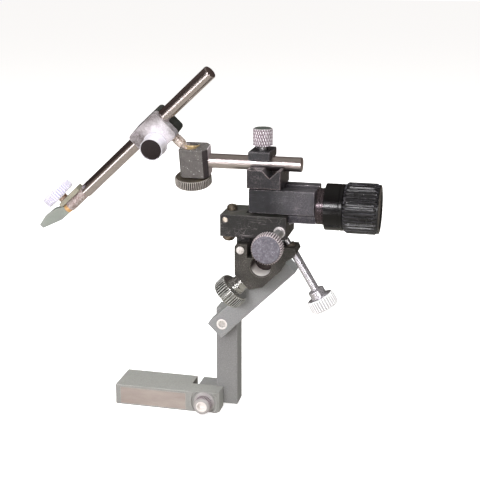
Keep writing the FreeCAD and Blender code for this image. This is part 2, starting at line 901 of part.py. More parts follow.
# Carriage with the slot for the fine slide
def make_carriage():
    body = soft_box(carriage_left, carriage_right, front_y, rear_y, carriage_bottom, carriage_top,
                    fine_edge)
    male = dovetail(0, 0, flare_bottom, carriage_bottom + edge)
    body = body.fuse(prism_x(male, dovetail_left, carriage_right))
    half = rack_width / 2
    body = body.cut(box(rack_left, rack_right, mid_y - half, mid_y + half, flare_bottom - overrun,
                        flare_bottom + rack_let_in))
    wide = wing_half + slide_gap
    narrow = nut_half + slide_gap
    right = carriage_right + overrun
    body = body.cut(box(slot_left, right, mid_y - narrow, mid_y + narrow, slot_floor,
                        carriage_top + overrun))
    body = body.cut(box(slot_left, right, mid_y - wide, mid_y + wide, nut_top - slide_gap,
                        wing_top + slide_gap))
    tail_hole = lead_tail_dia + 2 * running_gap
    return body.cut(rod_x(tail_hole, mid_y, fine_z, lead_tail_left - edge, slot_left + overrun))


neck_end = carriage_right + neck_length
barrel_end = neck_end + barrel_length
fine_start = barrel_end + thrust_gap


def make_drive_neck():
    r = neck_dia / 2
    low = r - neck_ring_depth
    step = neck_length / neck_rings
    profile = [(0, 0), (0, r)]
    for k in range(neck_rings):
        start = k * step
        end = start + step
        profile += [(start + neck_ring, r), (start + neck_ring, low), (end - neck_ring, low),
                    (end - neck_ring, r)]
    profile += [(neck_length, r), (neck_length, 0)]
    body = turned(profile, V(carriage_right, mid_y, fine_z), X_AXIS)
    hole = journal_dia + 2 * running_gap
    return body.cut(rod_x(hole, mid_y, fine_z, carriage_right - overrun, neck_end + overrun))


def make_drive_barrel():
    body = rod_x(barrel_dia, mid_y, fine_z, neck_end, barrel_end)
    body = bevel_edges(body, rim_at("X", neck_end), edge)
    body = bevel_edges(body, rim_at("X", barrel_end), edge)
    pocket_end = neck_end + thrust_thick + 2 * thrust_gap
    body = body.cut(rod_x(thrust_dia + 2 * thrust_gap, mid_y, fine_z, neck_end - overrun, pocket_end))
    hole = journal_dia + 2 * running_gap
    return body.cut(rod_x(hole, mid_y, fine_z, neck_end, barrel_end + overrun))


def make_lead_screw():
    tail = lead_tail_dia / 2
    thread = lead_dia / 2
    journal = journal_dia / 2
    start = slot_left + thrust_gap
    shoulder = carriage_right + thrust_gap
    collar = neck_end + thrust_gap
    collar_end = collar + thrust_thick
    end = fine_start + fine_socket
    profile = [(lead_tail_left, 0), (lead_tail_left, tail), (start + lead_neck_length, tail),
               (start + lead_neck_length, thread), (shoulder, thread), (shoulder, journal),
               (collar, journal), (collar, thrust_dia / 2), (collar_end, thrust_dia / 2),
               (collar_end, journal), (end, journal), (end, 0)]
    return turned(profile, V(0, mid_y, fine_z), X_AXIS)


def make_fine_knob():
    # Ribbed band with flat-bottomed grooves, then a plain rim with a shallow recess in its face
    r = fine_dia / 2
    floor = r - rib_depth
    pitch = 2 * math.pi / fine_ribs
    corners = []
    for k in range(fine_ribs):
        for radius, share in ((r, -rib_top_share), (r, rib_top_share),
                              (floor, 1 - rib_floor_share), (floor, 1 + rib_floor_share)):
            a = pitch * (k + share / 2)
            y = mid_y + radius * math.cos(a)
            z = fine_z + radius * math.sin(a)
            corners.append(V(fine_start + edge, y, z))
    ledge = fine_length - rib_end_band
    band = prism(corners, V(ledge - edge, 0, 0))
    recess = fine_length - fine_recess_depth
    recess_radius = fine_recess_dia / 2
    inner = floor - fine_edge
    core = turned([(0, 0), (0, inner - edge), (edge, inner), (ledge, inner), (ledge, r),
                   (fine_length - edge, r), (fine_length, r - edge), (fine_length, recess_radius),
                   (recess, recess_radius - edge), (recess, 0)], V(fine_start, mid_y, fine_z), X_AXIS)
    body = core.fuse(band)
    body = body.cut(rod_x(journal_dia, mid_y, fine_z, fine_start - overrun, fine_start + fine_socket))
    at = fine_start + fine_set_from_face
    low = fine_z + journal_dia / 2
    return body.cut(rod_z_up(fine_set_dia, at, mid_y, low, fine_z + r + overrun))


def make_fine_set_screw():
    at = fine_start + fine_set_from_face
    low = fine_z + journal_dia / 2
    top = low + fine_set_length
    body = rod_z_up(fine_set_dia, at, mid_y, low, top)
    return body.cut(hexagon_hole(fine_set_dia / 2, V(at, mid_y, top), Z_AXIS * -1, overrun))


# V-block and what it carries
rod_groove_apex = rod_z - rod_dia / math.sqrt(2)


def make_vblock():
    body = soft_box(vblock_left, vblock_right, vblock_front, rear_y, vblock_bottom, vblock_top, fine_edge)
    front = mid_y - nut_half
    body = body.fuse(box(tongue_left, tongue_right, front, mid_y + nut_half, nut_top,
                         vblock_bottom + edge))
    front = mid_y - wing_half
    body = body.fuse(box(tongue_left, tongue_right, front, mid_y + wing_half, nut_top, wing_top))
    high = vblock_top + overrun
    rise = high - rod_groove_apex
    along = [(mid_y, rod_groove_apex), (mid_y + rise, high), (mid_y - rise, high)]
    body = body.cut(prism_x(along, vblock_left - overrun, vblock_right + overrun))
    rise = high - cross_notch_apex
    across = [(cross_notch_x, cross_notch_apex), (cross_notch_x + rise, high),
              (cross_notch_x - rise, high)]
    body = body.cut(prism_y(across, vblock_front - overrun, rear_y + overrun))
    return body.cut(rod_z_up(witness_dia, witness_x, witness_y, vblock_top - witness_depth, high))


def make_feed_nut():
    body = box(nut_left, nut_right, mid_y - nut_half, mid_y + nut_half, nut_bottom, nut_top)
    hole = lead_dia + 2 * running_gap
    return body.cut(rod_x(hole, mid_y, fine_z, nut_left - overrun, nut_right + overrun))


def make_bridge():
    body = soft_box(bridge_left, bridge_right, bridge_front, bridge_back, bridge_under, bridge_top, edge)
    leg = box(bridge_left + edge, bridge_right - edge, bridge_back - bridge_leg, bridge_back - edge,
              vblock_top, bridge_under + overrun)
    body = body.fuse(leg)
    left = bridge_left - overrun
    high = bridge_top + overrun
    body = body.cut(rod_x(rod_dia + 2 * slide_gap, mid_y, rod_z, left, bridge_right + overrun))
    body = body.cut(rod_z_up(thumb_stem_dia + 2 * running_gap, thumb_x, mid_y, rod_z, high))
    recess = bridge_top - thumb_recess_depth
    return body.cut(rod_z_up(thumb_recess_dia, thumb_x, mid_y, recess, high))


def make_thumbscrew():
    low = rod_z + rod_dia / 2 + running_gap
    stem = rod_z_up(thumb_stem_dia, thumb_x, mid_y, low, thumb_head_bottom + edge)
    start = V(thumb_x, mid_y, thumb_head_bottom)
    head = knurled_at(start, Z_AXIS, thumb_head_dia, thumb_head_height, thumb_teeth, knurl_depth, edge)
    return stem.fuse(head)


def make_cross_rod():
    body = rod_x(rod_dia, mid_y, rod_z, rod_left, rod_right)
    return bevel_edges(body, rim_at("X", rod_right), edge)


# Joint block and everything beyond it: drawn upright, then rolled about the cross rod
ball = V(ball_x, mid_y, ball_z)


def rolled(shape):
    shape.rotate(V(0, mid_y, rod_z), X_AXIS, joint_roll)
    return shape


def make_joint_block():
    outline = [(joint_left + joint_corner_left, joint_front),
               (joint_right - joint_corner_right, joint_front),
               (joint_right, joint_front + joint_corner_right),
               (joint_right, joint_back - joint_corner_back),
               (joint_right - joint_corner_back, joint_back),
               (joint_left + joint_corner_back, joint_back),
               (joint_left, joint_back - joint_corner_back),
               (joint_left, joint_front + joint_corner_left)]
    body = prism([V(x, y, joint_bottom) for x, y in outline], V(0, 0, joint_top - joint_bottom))
    body = bevel_edges(body, rim_at("Z", joint_top), fine_edge)
    body = bevel_edges(body, rim_at("Z", joint_bottom), fine_edge)
    rod_hole = rod_dia + 2 * running_gap
    body = body.cut(rod_x(rod_hole, mid_y, rod_z, rod_left - thrust_gap, joint_right + overrun))
    cavity = ball_dia + 2 * running_gap
    body = body.cut(Part.makeSphere(cavity / 2, ball))
    body = body.cut(rod_z_up(cavity, ball_x, mid_y, joint_bottom - overrun, ball_z))
    high = joint_top + overrun
    body = body.cut(rod_z_up(cup_mouth_dia, ball_x, mid_y, joint_top - cup_mouth_depth, high))
    return body.cut(box(joint_left - overrun, ball_x, mid_y - stud_notch_half,
                        mid_y + stud_notch_half, stud_notch_floor, high))


def make_ball_seat():
    cavity = ball_dia + 2 * running_gap
    body = rod_z_up(ball_dia, ball_x, mid_y, seat_bottom, seat_bottom + seat_height)
    return body.cut(Part.makeSphere(cavity / 2, ball))


def make_joint_plug():
    body = rod_z_up(ball_dia + 2 * running_gap, ball_x, mid_y, joint_bottom, plug_top)
    return body.cut(rod_z_up(joint_stem_dia + 2 * running_gap, ball_x, mid_y, joint_bottom - overrun,
                             plug_top + overrun))


def make_joint_knob():
    top = seat_bottom - running_gap
    stem = rod_z_up(joint_stem_dia, ball_x, mid_y, joint_knob_top - edge, top)
    collar_top = joint_bottom - thrust_gap
    collar = rod_z_up(joint_neck_dia, ball_x, mid_y, joint_knob_top - edge, collar_top)
    head = knurled_at(V(ball_x, mid_y, joint_knob_bottom), Z_AXIS, joint_knob_dia,
                      joint_knob_top - joint_knob_bottom, joint_teeth, knurl_depth, edge)
    return stem.fuse(collar).fuse(head)


# Points along and across the holder rod, at depth y
holder_along = in_plane(holder_angle)
holder_across = in_plane(holder_angle + 90)


def holder_point(along, across, y):
    return V(holder_x, y, holder_z) + holder_along * along + holder_across * across


def across_of(point):
    return (point - V(holder_x, point.y, holder_z)).dot(holder_across)


def holder_box(a0, a1, c0, c1, y0, y1):
    corners = [holder_point(a0, c0, y0), holder_point(a1, c0, y0), holder_point(a1, c1, y0),
               holder_point(a0, c1, y0)]
    return prism(corners, V(0, y1 - y0, 0))


def holder_rod_shape(dia, a0, a1):
    return rod(dia / 2, holder_point(a0, 0, holder_y), holder_along, a1 - a0)


def make_ball_stud():
    # Ball, slim neck that swings in the block's notch, and a shank up to the cross clamp
    sphere = Part.makeSphere(ball_dia / 2, ball)
    shoulder = clamp_lower - across_of(ball) - thrust_gap
    length = clamp_lower + stud_seat - across_of(ball)
    shank = stud_shank_dia / 2
    stem = turned([(0, 0), (0, stud_neck_dia / 2), (stud_neck_end, stud_neck_dia / 2),
                   (stud_neck_end + stud_cone, shank), (shoulder, shank), (shoulder, stud_dia / 2),
                   (length, stud_dia / 2), (length, 0)], ball, holder_across)
    return sphere.fuse(stem)


def clamp_block(y0, y1):
    a0 = clamp_along - clamp_length / 2
    a1 = a0 + clamp_length
    body = holder_box(a0, a1, clamp_lower, clamp_upper, y0, y1)
    corners = [e for e in body.Edges if e.BoundBox.YLength > (y1 - y0) / 2]
    body = body.makeFillet(clamp_corner, corners)
    return body.cut(holder_rod_shape(holder_dia + 2 * running_gap, a0 - overrun, a1 + overrun))


def cross_knob_point(y):
    return holder_point(clamp_along - cross_knob_back, cross_knob_across, y)


def make_clamp_rear():
    body = clamp_block(holder_y + clamp_split / 2, holder_y + clamp_rear_thick)
    stem_hole = cross_stem_dia / 2 + running_gap
    reach = cross_stem_reach - clamp_plate_thick + edge
    body = body.cut(rod(stem_hole, cross_knob_point(holder_y), Y_AXIS, reach))
    hole = ball + holder_across * ball_dia
    length = clamp_lower + stud_seat - across_of(hole)
    return body.cut(rod(stud_dia / 2 + running_gap, hole, holder_across, length + thrust_gap))


def make_clamp_front():
    front = holder_y - clamp_plate_thick
    body = clamp_block(front, holder_y - clamp_split / 2)
    stem_hole = cross_stem_dia / 2 + running_gap
    reach = clamp_plate_thick + 2 * overrun
    return body.cut(rod(stem_hole, cross_knob_point(front - overrun), Y_AXIS, reach))


def make_cross_knob():
    base = cross_knob_point(holder_y - clamp_plate_thick - thrust_gap)
    out = Y_AXIS * -1
    flange = rod(cross_flange_dia / 2, base, out, cross_flange_thick)
    barrel = rod(cross_knob_dia / 2, base, out, cross_knob_length)
    barrel = bevel_edges(barrel, rim_at("Y", base.y - cross_knob_length), edge)
    stem = rod(cross_stem_dia / 2, base + out * fine_edge, Y_AXIS, cross_stem_reach)
    return flange.fuse(barrel).fuse(stem)


def make_holder_rod():
    r = holder_dia / 2
    low = r - scribe_depth
    scribe_end = scribe_at + scribe_width
    profile = [(0, 0), (0, r - fine_edge), (fine_edge, r), (scribe_at, r), (scribe_at, low),
               (scribe_end, low), (scribe_end, r), (holder_length - edge, r),
               (holder_length, r - edge), (holder_length, 0)]
    body = turned(profile, holder_point(0, 0, holder_y), holder_along)
    hole = grip_spigot_dia + 2 * running_gap
    return body.cut(holder_rod_shape(hole, -overrun, grip_spigot_length + edge))


# Electrode grip
def grip_screw_hole(reach):
    start = holder_point(grip_screw_along, 0, holder_y)
    return rod(grip_screw_dia / 2 + running_gap, start, holder_across, reach)


def make_grip_sleeve():
    sleeve = holder_rod_shape(grip_sleeve_dia, -grip_sleeve_length - thrust_gap, -thrust_gap)
    spigot = holder_rod_shape(grip_spigot_dia, -fine_edge, grip_spigot_length)
    core = holder_rod_shape(grip_core_dia, jaw_start, -grip_sleeve_length)
    body = sleeve.fuse(spigot).fuse(core)
    low = grip_sleeve_dia / 2 - fine_edge
    body = body.cut(holder_box(-grip_sleeve_length - overrun, 0, low, grip_sleeve_dia,
                               holder_y - grip_sleeve_dia, holder_y + grip_sleeve_dia))
    return body.cut(grip_screw_hole(grip_sleeve_dia))


def make_grip_ring():
    end = -grip_sleeve_length - thrust_gap
    start = end - grip_ring_length
    body = holder_rod_shape(grip_ring_dia, start, end)
    body = body.cut(holder_rod_shape(grip_core_dia, start - overrun, end + overrun))
    return body.cut(grip_screw_hole(grip_sleeve_dia))


def make_grip_plate():
    half = plate_width / 2
    low = grip_sleeve_dia / 2 - fine_edge
    body = holder_box(plate_left, plate_right, low, plate_high, holder_y - half, holder_y + half)
    return body.cut(grip_screw_hole(2 * plate_high))


def make_grip_jaw():
    half = jaw_thick / 2
    outline = [(jaw_start, jaw_root_low), (jaw_cheek, jaw_root_low), (jaw_end, jaw_end_low),
               (jaw_end, jaw_end_high), (jaw_crown, jaw_crown_high), (jaw_cheek, jaw_cheek_high),
               (jaw_start, jaw_root_high)]
    corners = [holder_point(along, across, holder_y - half) for along, across in outline]
    return prism(corners, V(0, jaw_thick, 0))


def make_grip_knob():
    base = holder_point(grip_screw_along, grip_knob_low, holder_y)
    head = knurled_at(base, holder_across, grip_knob_dia, grip_knob_high - grip_knob_low,
                      grip_teeth, knurl_depth, edge)
    low = grip_core_dia / 2
    start = holder_point(grip_screw_along, low + running_gap, holder_y)
    stem = rod(grip_screw_dia / 2, start, holder_across, grip_knob_low - low)
    hub_start = holder_point(grip_screw_along, plate_high + thrust_gap, holder_y)
    hub = rod(grip_hub_dia / 2, hub_start, holder_across, grip_knob_low - plate_high)
    return head.fuse(stem).fuse(hub)


save(make_base(), "base_block")
save(make_pad(), "base_pad")
save(make_post(), "post")
save(make_foot_screw(), "foot_screw")
save(make_foot_washer(), "foot_washer")
save(make_arm(), "upper_arm")
save(make_elbow_bush(), "elbow_bush")
save(make_elbow_pin(), "elbow_pin")
save(make_stub(), "stub_rod")
save(make_bracket(), "bracket")
save(make_bore_sleeve(), "bore_sleeve")
save(make_clamp_washer(), "clamp_washer")
save(make_rod_clamp_knob(), "rod_clamp_knob")
save(make_tilt_pin(), "tilt_pin")
save(make_tilt_bush(), "tilt_bush")
save(make_tilt_tip(), "tilt_tip")
save(make_tilt_screw(), "tilt_screw")
save(make_slide_block(), "slide_block")
save(make_gib(), "gib_strip")
save(make_gib_screw(gib_screw_xs[0]), "gib_screw_a")
save(make_gib_screw(gib_screw_xs[1]), "gib_screw_b")
save(make_lock_screw(), "lock_screw")
save(make_lock_foot(), "lock_foot")
save(make_set_pin(), "set_pin")
save(make_pinion(), "pinion")
save(make_pinion_bush(), "pinion_bush")
save(make_coarse_knob(), "coarse_knob")
save(make_rack(), "rack")
save(make_carriage(), "carriage")
save(make_drive_neck(), "drive_neck")
save(make_drive_barrel(), "drive_barrel")
save(make_lead_screw(), "lead_screw")
save(make_fine_knob(), "fine_knob")
save(make_fine_set_screw(), "fine_set_screw")
save(make_vblock(), "v_block")
save(make_feed_nut(), "feed_nut")
save(make_bridge(), "clamp_bridge")
save(make_thumbscrew(), "thumbscrew")
save(make_cross_rod(), "cross_rod")
save(rolled(make_joint_block()), "joint_block")
save(rolled(make_ball_seat()), "ball_seat")
save(rolled(make_joint_plug()), "joint_plug")
save(rolled(make_joint_knob()), "joint_knob")
save(rolled(make_ball_stud()), "ball_stud")
save(rolled(make_clamp_rear()), "clamp_rear")
save(rolled(make_clamp_front()), "clamp_front")
save(rolled(make_cross_knob()), "cross_knob")
save(rolled(make_holder_rod()), "holder_rod")
save(rolled(make_grip_sleeve()), "grip_sleeve")
save(rolled(make_grip_ring()), "grip_ring")
save(rolled(make_grip_plate()), "grip_plate")
save(rolled(make_grip_jaw()), "grip_jaw")
save(rolled(make_grip_knob()), "grip_knob")
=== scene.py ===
import json
import math

import bpy
from mathutils import Matrix, Vector


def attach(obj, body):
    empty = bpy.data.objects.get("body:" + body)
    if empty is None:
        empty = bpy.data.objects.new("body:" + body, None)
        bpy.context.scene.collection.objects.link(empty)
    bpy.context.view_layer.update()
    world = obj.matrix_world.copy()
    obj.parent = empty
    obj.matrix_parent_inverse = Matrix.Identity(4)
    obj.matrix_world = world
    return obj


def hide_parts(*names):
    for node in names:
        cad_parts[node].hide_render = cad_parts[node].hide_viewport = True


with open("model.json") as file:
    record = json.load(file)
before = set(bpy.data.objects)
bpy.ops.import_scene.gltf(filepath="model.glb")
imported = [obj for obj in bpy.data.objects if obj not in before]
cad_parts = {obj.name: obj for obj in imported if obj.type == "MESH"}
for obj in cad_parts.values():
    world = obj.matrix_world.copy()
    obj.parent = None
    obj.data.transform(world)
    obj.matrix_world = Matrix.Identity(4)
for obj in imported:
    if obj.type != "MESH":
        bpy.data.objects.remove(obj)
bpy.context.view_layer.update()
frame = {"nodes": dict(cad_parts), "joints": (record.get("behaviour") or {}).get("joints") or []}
joints = {j["name"]: j for j in frame["joints"]}

# Sizes are in millimetres, and MM turns them into scene units.
MM = 0.001
TAU = 2 * math.pi
SHARP = math.radians(32)
ROUND_STEPS = 128
# Everything past the cross rod is turned about it by this much.
BALL_ROLL = math.radians(12.5)


# Node graphs written as expressions
class Wire:
    """The value of one socket, so that node maths reads as a sum."""

    def __init__(self, graph, socket):
        self.graph = graph
        self.socket = socket

    def __add__(self, other):
        return self.graph.maths("ADD", self, other)

    def __sub__(self, other):
        return self.graph.maths("SUBTRACT", self, other)

    def __rsub__(self, other):
        return self.graph.maths("SUBTRACT", other, self)

    def __mul__(self, other):
        return self.graph.maths("MULTIPLY", self, other)

    def __truediv__(self, other):
        return self.graph.maths("DIVIDE", self, other)

    __radd__ = __add__
    __rmul__ = __mul__

    def least(self, other):
        return self.graph.maths("MINIMUM", self, other)

    def most(self, other):
        return self.graph.maths("MAXIMUM", self, other)

    def clamped(self):
        return self.least(1.0).most(0.0)

    def between(self, low, high):
        """0 at low and 1 at high, held at both ends."""
        return ((self - low) * (1 / (high - low))).clamped()


class Graph:
    """A node tree, with one method that adds any node."""

    def __init__(self, tree):
        self.tree = tree

    def node(self, kind, values=None, settings=None, out=0):
        made = self.tree.nodes.new(kind)
        for key, value in (settings or {}).items():
            if key == "stops":
                self.set_stops(made.color_ramp, value)
            else:
                setattr(made, key, value)
        for key, value in (values or {}).items():
            if isinstance(value, Wire):
                self.tree.links.new(value.socket, made.inputs[key])
            else:
                made.inputs[key].default_value = value
        return Wire(self, made.outputs[out]) if made.outputs else None

    def set_stops(self, ramp, stops):
        while len(ramp.elements) < len(stops):
            ramp.elements.new(0.5)
        for element, (position, colour) in zip(ramp.elements, stops):
            element.position = position
            element.color = colour

    def maths(self, operation, *values):
        return self.node("ShaderNodeMath", dict(enumerate(values)), {"operation": operation})

    def vector(self, x, y, z):
        return self.node("ShaderNodeCombineXYZ", {0: x, 1: y, 2: z})

    def parts_of(self, vector):
        split = self.tree.nodes.new("ShaderNodeSeparateXYZ")
        self.tree.links.new(vector.socket, split.inputs[0])
        return [Wire(self, output) for output in split.outputs]


def srgb(red, green, blue):
    """A colour given as 0-255 display values, as the shader's linear one."""
    def linear(value):
        share = value / 255
        return share / 12.92 if share < 0.04045 else ((share + 0.055) / 1.055) ** 2.4
    return (linear(red), linear(green), linear(blue), 1.0)


class Finish(Graph):
    """A material built from patterns in millimetres over the piece."""

    def __init__(self, name):
        self.material = bpy.data.materials.new(name)
        self.material.use_nodes = True
        super().__init__(self.material.node_tree)
        self.tree.nodes.clear()
        metres = self.node("ShaderNodeTexCoord", out="Object")
        self.place = self.node("ShaderNodeVectorMath", {0: metres, "Scale": 1 / MM},
                               {"operation": "SCALE"})

    def stretched(self, stretch):
        return self.node("ShaderNodeVectorMath", {0: self.place, 1: stretch}, {"operation": "MULTIPLY"})

    def noise(self, size, detail=3.0, rough=0.55, stretch=(1, 1, 1), warp=0.0):
        """Cloudy pattern whose patches are about size millimetres across."""
        return self.node("ShaderNodeTexNoise",
                         {"Vector": self.stretched(stretch), "Scale": 1 / size, "Detail": detail,
                          "Roughness": rough, "Distortion": warp})

    def cells(self, size):
        """Distance to the nearest of scattered points about size millimetres apart."""
        return self.node("ShaderNodeTexVoronoi", {"Vector": self.place, "Scale": 1 / size})

    def scratches(self, length, gap, stretch, width):
        """Fine lines, broken here and there: a thin band of a strongly stretched noise."""
        field = self.node("ShaderNodeTexNoise",
                          {"Vector": self.stretched(stretch), "Scale": 1 / length, "Detail": 2.0,
                           "Roughness": 0.6, "Distortion": 0.4})
        far = self.maths("ABSOLUTE", field - 0.5)
        broken = self.noise(gap, 2.0).between(0.48, 0.62)
        return (1.0 - far * (1 / width)).clamped() * broken

    def turning_marks(self, axis):
        """Fine tool marks that run round the axis, so they change only along it."""
        along = self.node("ShaderNodeVectorMath", {0: self.place, 1: axis}, {"operation": "DOT_PRODUCT"},
                          out="Value")
        pitch = 0.05
        return self.node("ShaderNodeTexNoise", {"W": along * (1 / pitch), "Scale": 1.0, "Detail": 2.0,
                                                "Roughness": 0.6}, {"noise_dimensions": "1D"})

    def far_from(self, point):
        """Distance in millimetres from a point of the piece."""
        offset = self.node("ShaderNodeVectorMath", {0: self.place, 1: point}, {"operation": "SUBTRACT"})
        return self.node("ShaderNodeVectorMath", {0: offset}, {"operation": "LENGTH"}, out="Value")

    def mix(self, first, second, share):
        """Blends two colours, each a wire or 0-255 display values, by a share from 0 to 1."""
        first, second = (c if isinstance(c, Wire) else srgb(*c) for c in (first, second))
        return self.node("ShaderNodeMix", {0: share, 6: first, 7: second}, {"data_type": "RGBA"}, out=2)

    def rounded_normal(self, radius):
        return self.node("ShaderNodeBevel", {"Radius": radius * MM}, {"samples": 6})

    def edge_wear(self, radius, gain):
        """1 along sharp outer edges and 0 on flats."""
        soft = self.rounded_normal(radius)
        flat = self.node("ShaderNodeNewGeometry", out="Normal")
        agree = self.node("ShaderNodeVectorMath", {0: soft, 1: flat}, {"operation": "DOT_PRODUCT"},
                          out="Value")
        return ((1.0 - agree) * gain).clamped()

    def close(self, colour, roughness, metallic, height, height_mm, edge, specular=0.5):
        """Ends the graph: a principled surface with a bump and rounded edges, both in millimetres."""
        bump = {"Height": height, "Strength": 1.0, "Distance": height_mm * MM}
        if edge:
            bump["Normal"] = self.rounded_normal(edge)
        surface = self.node("ShaderNodeBsdfPrincipled",
                            {"Base Color": colour, "Roughness": roughness, "Metallic": metallic,
                             "Specular IOR Level": specular, "Normal": self.node("ShaderNodeBump", bump)})
        self.node("ShaderNodeOutputMaterial", {"Surface": surface})
        return self.material


# Finishes
def satin_coat(name, colour, warm):
    """Satin grey coat: even, with faint clouds, a fine orange-peel and a few dark specks."""
    f = Finish(name)
    clouds = f.noise(14.0, 4.0, 0.6).between(0.3, 0.7)
    tone = f.mix(colour, warm, clouds * 0.7)
    specks = f.cells(1.9).between(0.14, 0.05) * f.noise(5.0).between(0.58, 0.7)
    tone = f.mix(tone, (104, 100, 96), specks * 0.4)
    flecks = f.noise(0.7, 3.0, 0.7)
    tone = f.mix(tone, (112, 110, 108), flecks.between(0.5, 0.3) * 0.35)
    tone = f.mix(tone, (186, 184, 182), flecks.between(0.52, 0.72) * 0.3)
    worn = f.edge_wear(0.6, 3.0) * f.noise(6.0, 3.0).between(0.3, 0.6)
    tone = f.mix(tone, (212, 206, 204), worn * 0.75)
    peel = f.noise(0.35, 3.0, 0.6)
    return f.close(tone, 0.46 + clouds * 0.1, 0.1, peel, 0.01, edge=0.4)


def bare_pad_finish():
    """Tan friction pad: matt, with fine fibres and faint rubbing along its length."""
    f = Finish("tan_pad")
    streaks = f.noise(6.0, 4.0, 0.65, (0.25, 1, 1)).between(0.35, 0.65)
    grain = f.noise(0.5, 3.0, 0.7)
    tone = f.mix((158, 146, 139), (173, 162, 155), streaks)
    tone = f.mix(tone, (142, 131, 124), grain.between(0.55, 0.8) * 0.5)
    tone = f.mix(tone, (206, 190, 176), f.edge_wear(0.3, 3.0) * 0.7)
    return f.close(tone, 0.66 + grain * 0.15, 0.0, grain, 0.02, edge=0.15)


def dark_metal(name, colour, cloud, worn, sheen, wear_width, dust=0.25, lines=0.1, metallic=0.25, paler_from=None,
               lit_top=0.0):
    """Blackened or anodised metal: mottled, dusty, a few hairlines, rubbed bright on its edges.

    Given a place along X in millimetres as its next to last argument, it turns a paler grey from there on.
    Its last argument is how much its upper faces are painted lighter, a painted top light.
    """
    f = Finish(name)
    clouds = f.noise(8.0, 5.0, 0.62, warp=0.3).between(0.32, 0.68)
    tone = f.mix(colour, cloud, clouds)
    mottle = f.noise(0.6, 4.0, 0.75).between(0.46, 0.76) * f.noise(9.0, 3.0).between(0.3, 0.66)
    if paler_from is not None:
        across, _, _ = f.parts_of(f.place)
        # the colour turns a paler grey from this place along X on, and the pale mottle shows only there
        paler_share = (across - paler_from).between(-7.0, 9.0)
        tone = f.mix(tone, (80, 78, 83), paler_share * (clouds * 0.4 + 0.4))
        mottle = mottle * paler_share
    if lit_top:
        # painted top light: upward faces are painted a lighter grey
        _, _, up = f.parts_of(f.node("ShaderNodeTexCoord", out="Normal"))
        tone = f.mix(tone, (122, 122, 116), up.between(0.6, 0.95) * (clouds * 0.3 + 0.7) * lit_top)
    tone = f.mix(tone, worn, mottle * dust)
    rubbed = f.scratches(30.0, 9.0, (1.0, 1.0, 9.0), 0.012)
    crossed = f.scratches(26.0, 8.0, (4.0, 1.0, 4.0), 0.008)
    marks = rubbed.most(crossed)
    tone = f.mix(tone, worn, marks * lines)
    patchy = f.noise(1.8, 4.0, 0.7).between(0.36, 0.58)
    edges = f.edge_wear(wear_width, 4.0) * patchy
    tone = f.mix(tone, worn, edges * 0.85)
    grain = f.noise(0.25, 2.0, 0.6)
    return f.close(tone, sheen + clouds * 0.12 - edges * 0.12, (edges * 0.6 + metallic).clamped(), grain,
                   0.004, edge=0.3)


def plated(name, colour, shade, roughness, metallic=1.0, axis=None, marks=0.03):
    """Plated or polished metal: clear reflections, slight haze, hairlines, and tool marks round an axis."""
    f = Finish(name)
    clouds = f.noise(9.0, 4.0, 0.6, warp=0.2).between(0.3, 0.7)
    tone = f.mix(colour, shade, clouds * 0.6)
    hairs = f.scratches(14.0, 3.0, (9.0, 9.0, 9.0), 0.015)
    tone = f.mix(tone, shade, hairs * 0.4)
    height, height_mm = f.noise(1.6, 3.0, 0.6), 0.002
    if axis:
        height, height_mm = f.turning_marks(axis), marks
    return f.close(tone, roughness + clouds * 0.06 + hairs * 0.06, metallic, height, height_mm, edge=0.0)


def knurled(name, colour, shade, groove, roughness, metallic):
    """Plated knob rim: bright teeth, and grooves painted darker as painted shade."""
    f = Finish(name)
    clouds = f.noise(3.0, 4.0, 0.65).between(0.35, 0.65)
    tone = f.mix(colour, shade, clouds * 0.7)
    depth = f.node("ShaderNodeAttribute", settings={"attribute_name": "groove"}, out="Fac")
    # painted shade: the grooves are painted darker by their depth
    groove_shade = depth.between(0.12, 0.5)
    tone = f.mix(tone, groove, groove_shade)
    return f.close(tone, roughness + clouds * 0.08 + groove_shade * 0.2, metallic, f.noise(0.4), 0.004, edge=0.0)


def granular(name, colour, light, dark, roughness, metallic=0.6, size=0.6):
    """Dull turned or worn face with an even grain of lighter and darker spots."""
    f = Finish(name)
    clouds = f.noise(3.0, 4.0, 0.6).between(0.34, 0.66)
    grain = f.noise(size, 4.0, 0.75)
    tone = f.mix(colour, light, (clouds * 0.25 + grain.between(0.5, 0.72) * 0.8).clamped())
    tone = f.mix(tone, dark, grain.between(0.5, 0.34) * 0.6)
    return f.close(tone, roughness + grain * 0.15, metallic, grain, 0.012, edge=0.15)


def satin_plate(bright):
    """Satin silver plate: a painted highlight, white round one point, and cloudy lilac grey away from it."""
    f = Finish("satin_silver")
    clouds = f.noise(5.0, 4.0, 0.6).between(0.38, 0.62)
    # painted highlight: white round the given point, darker away from it
    away = f.far_from(bright).between(3.0, 10.5)
    lines = f.noise(2.0, 3.0, 0.7, (6.0, 1.0, 6.0))
    fine = f.noise(0.8, 4.0, 0.7).between(0.4, 0.7)
    share = (away * 0.65 + clouds * 0.35 + fine * 0.2 - 0.12).clamped()
    tone = f.mix((242, 237, 243), (98, 90, 90), share)
    tone = f.mix(tone, (250, 240, 244), f.edge_wear(0.5, 3.0) * 0.7)
    return f.close(tone, 0.3 + lines * 0.14, 0.35, lines + fine, 0.006, edge=0.5)


def bore_liner(centre_height):
    """Bright liner seen through its bore: painted white below, with painted brown shade towards its dark
    upper side.
    """
    f = Finish("liner_steel")
    _, _, height = f.parts_of(f.place)
    # painted shade: brown towards the top of the bore, white below
    shaded = (height - centre_height).between(-3.4, -0.6)
    tone = f.mix((255, 250, 246), (52, 36, 30), (shaded + f.noise(2.0) * 0.2 - 0.1).clamped())
    return f.close(tone, 0.4, 0.0, f.noise(0.5), 0.004, edge=0.0, specular=0.9)


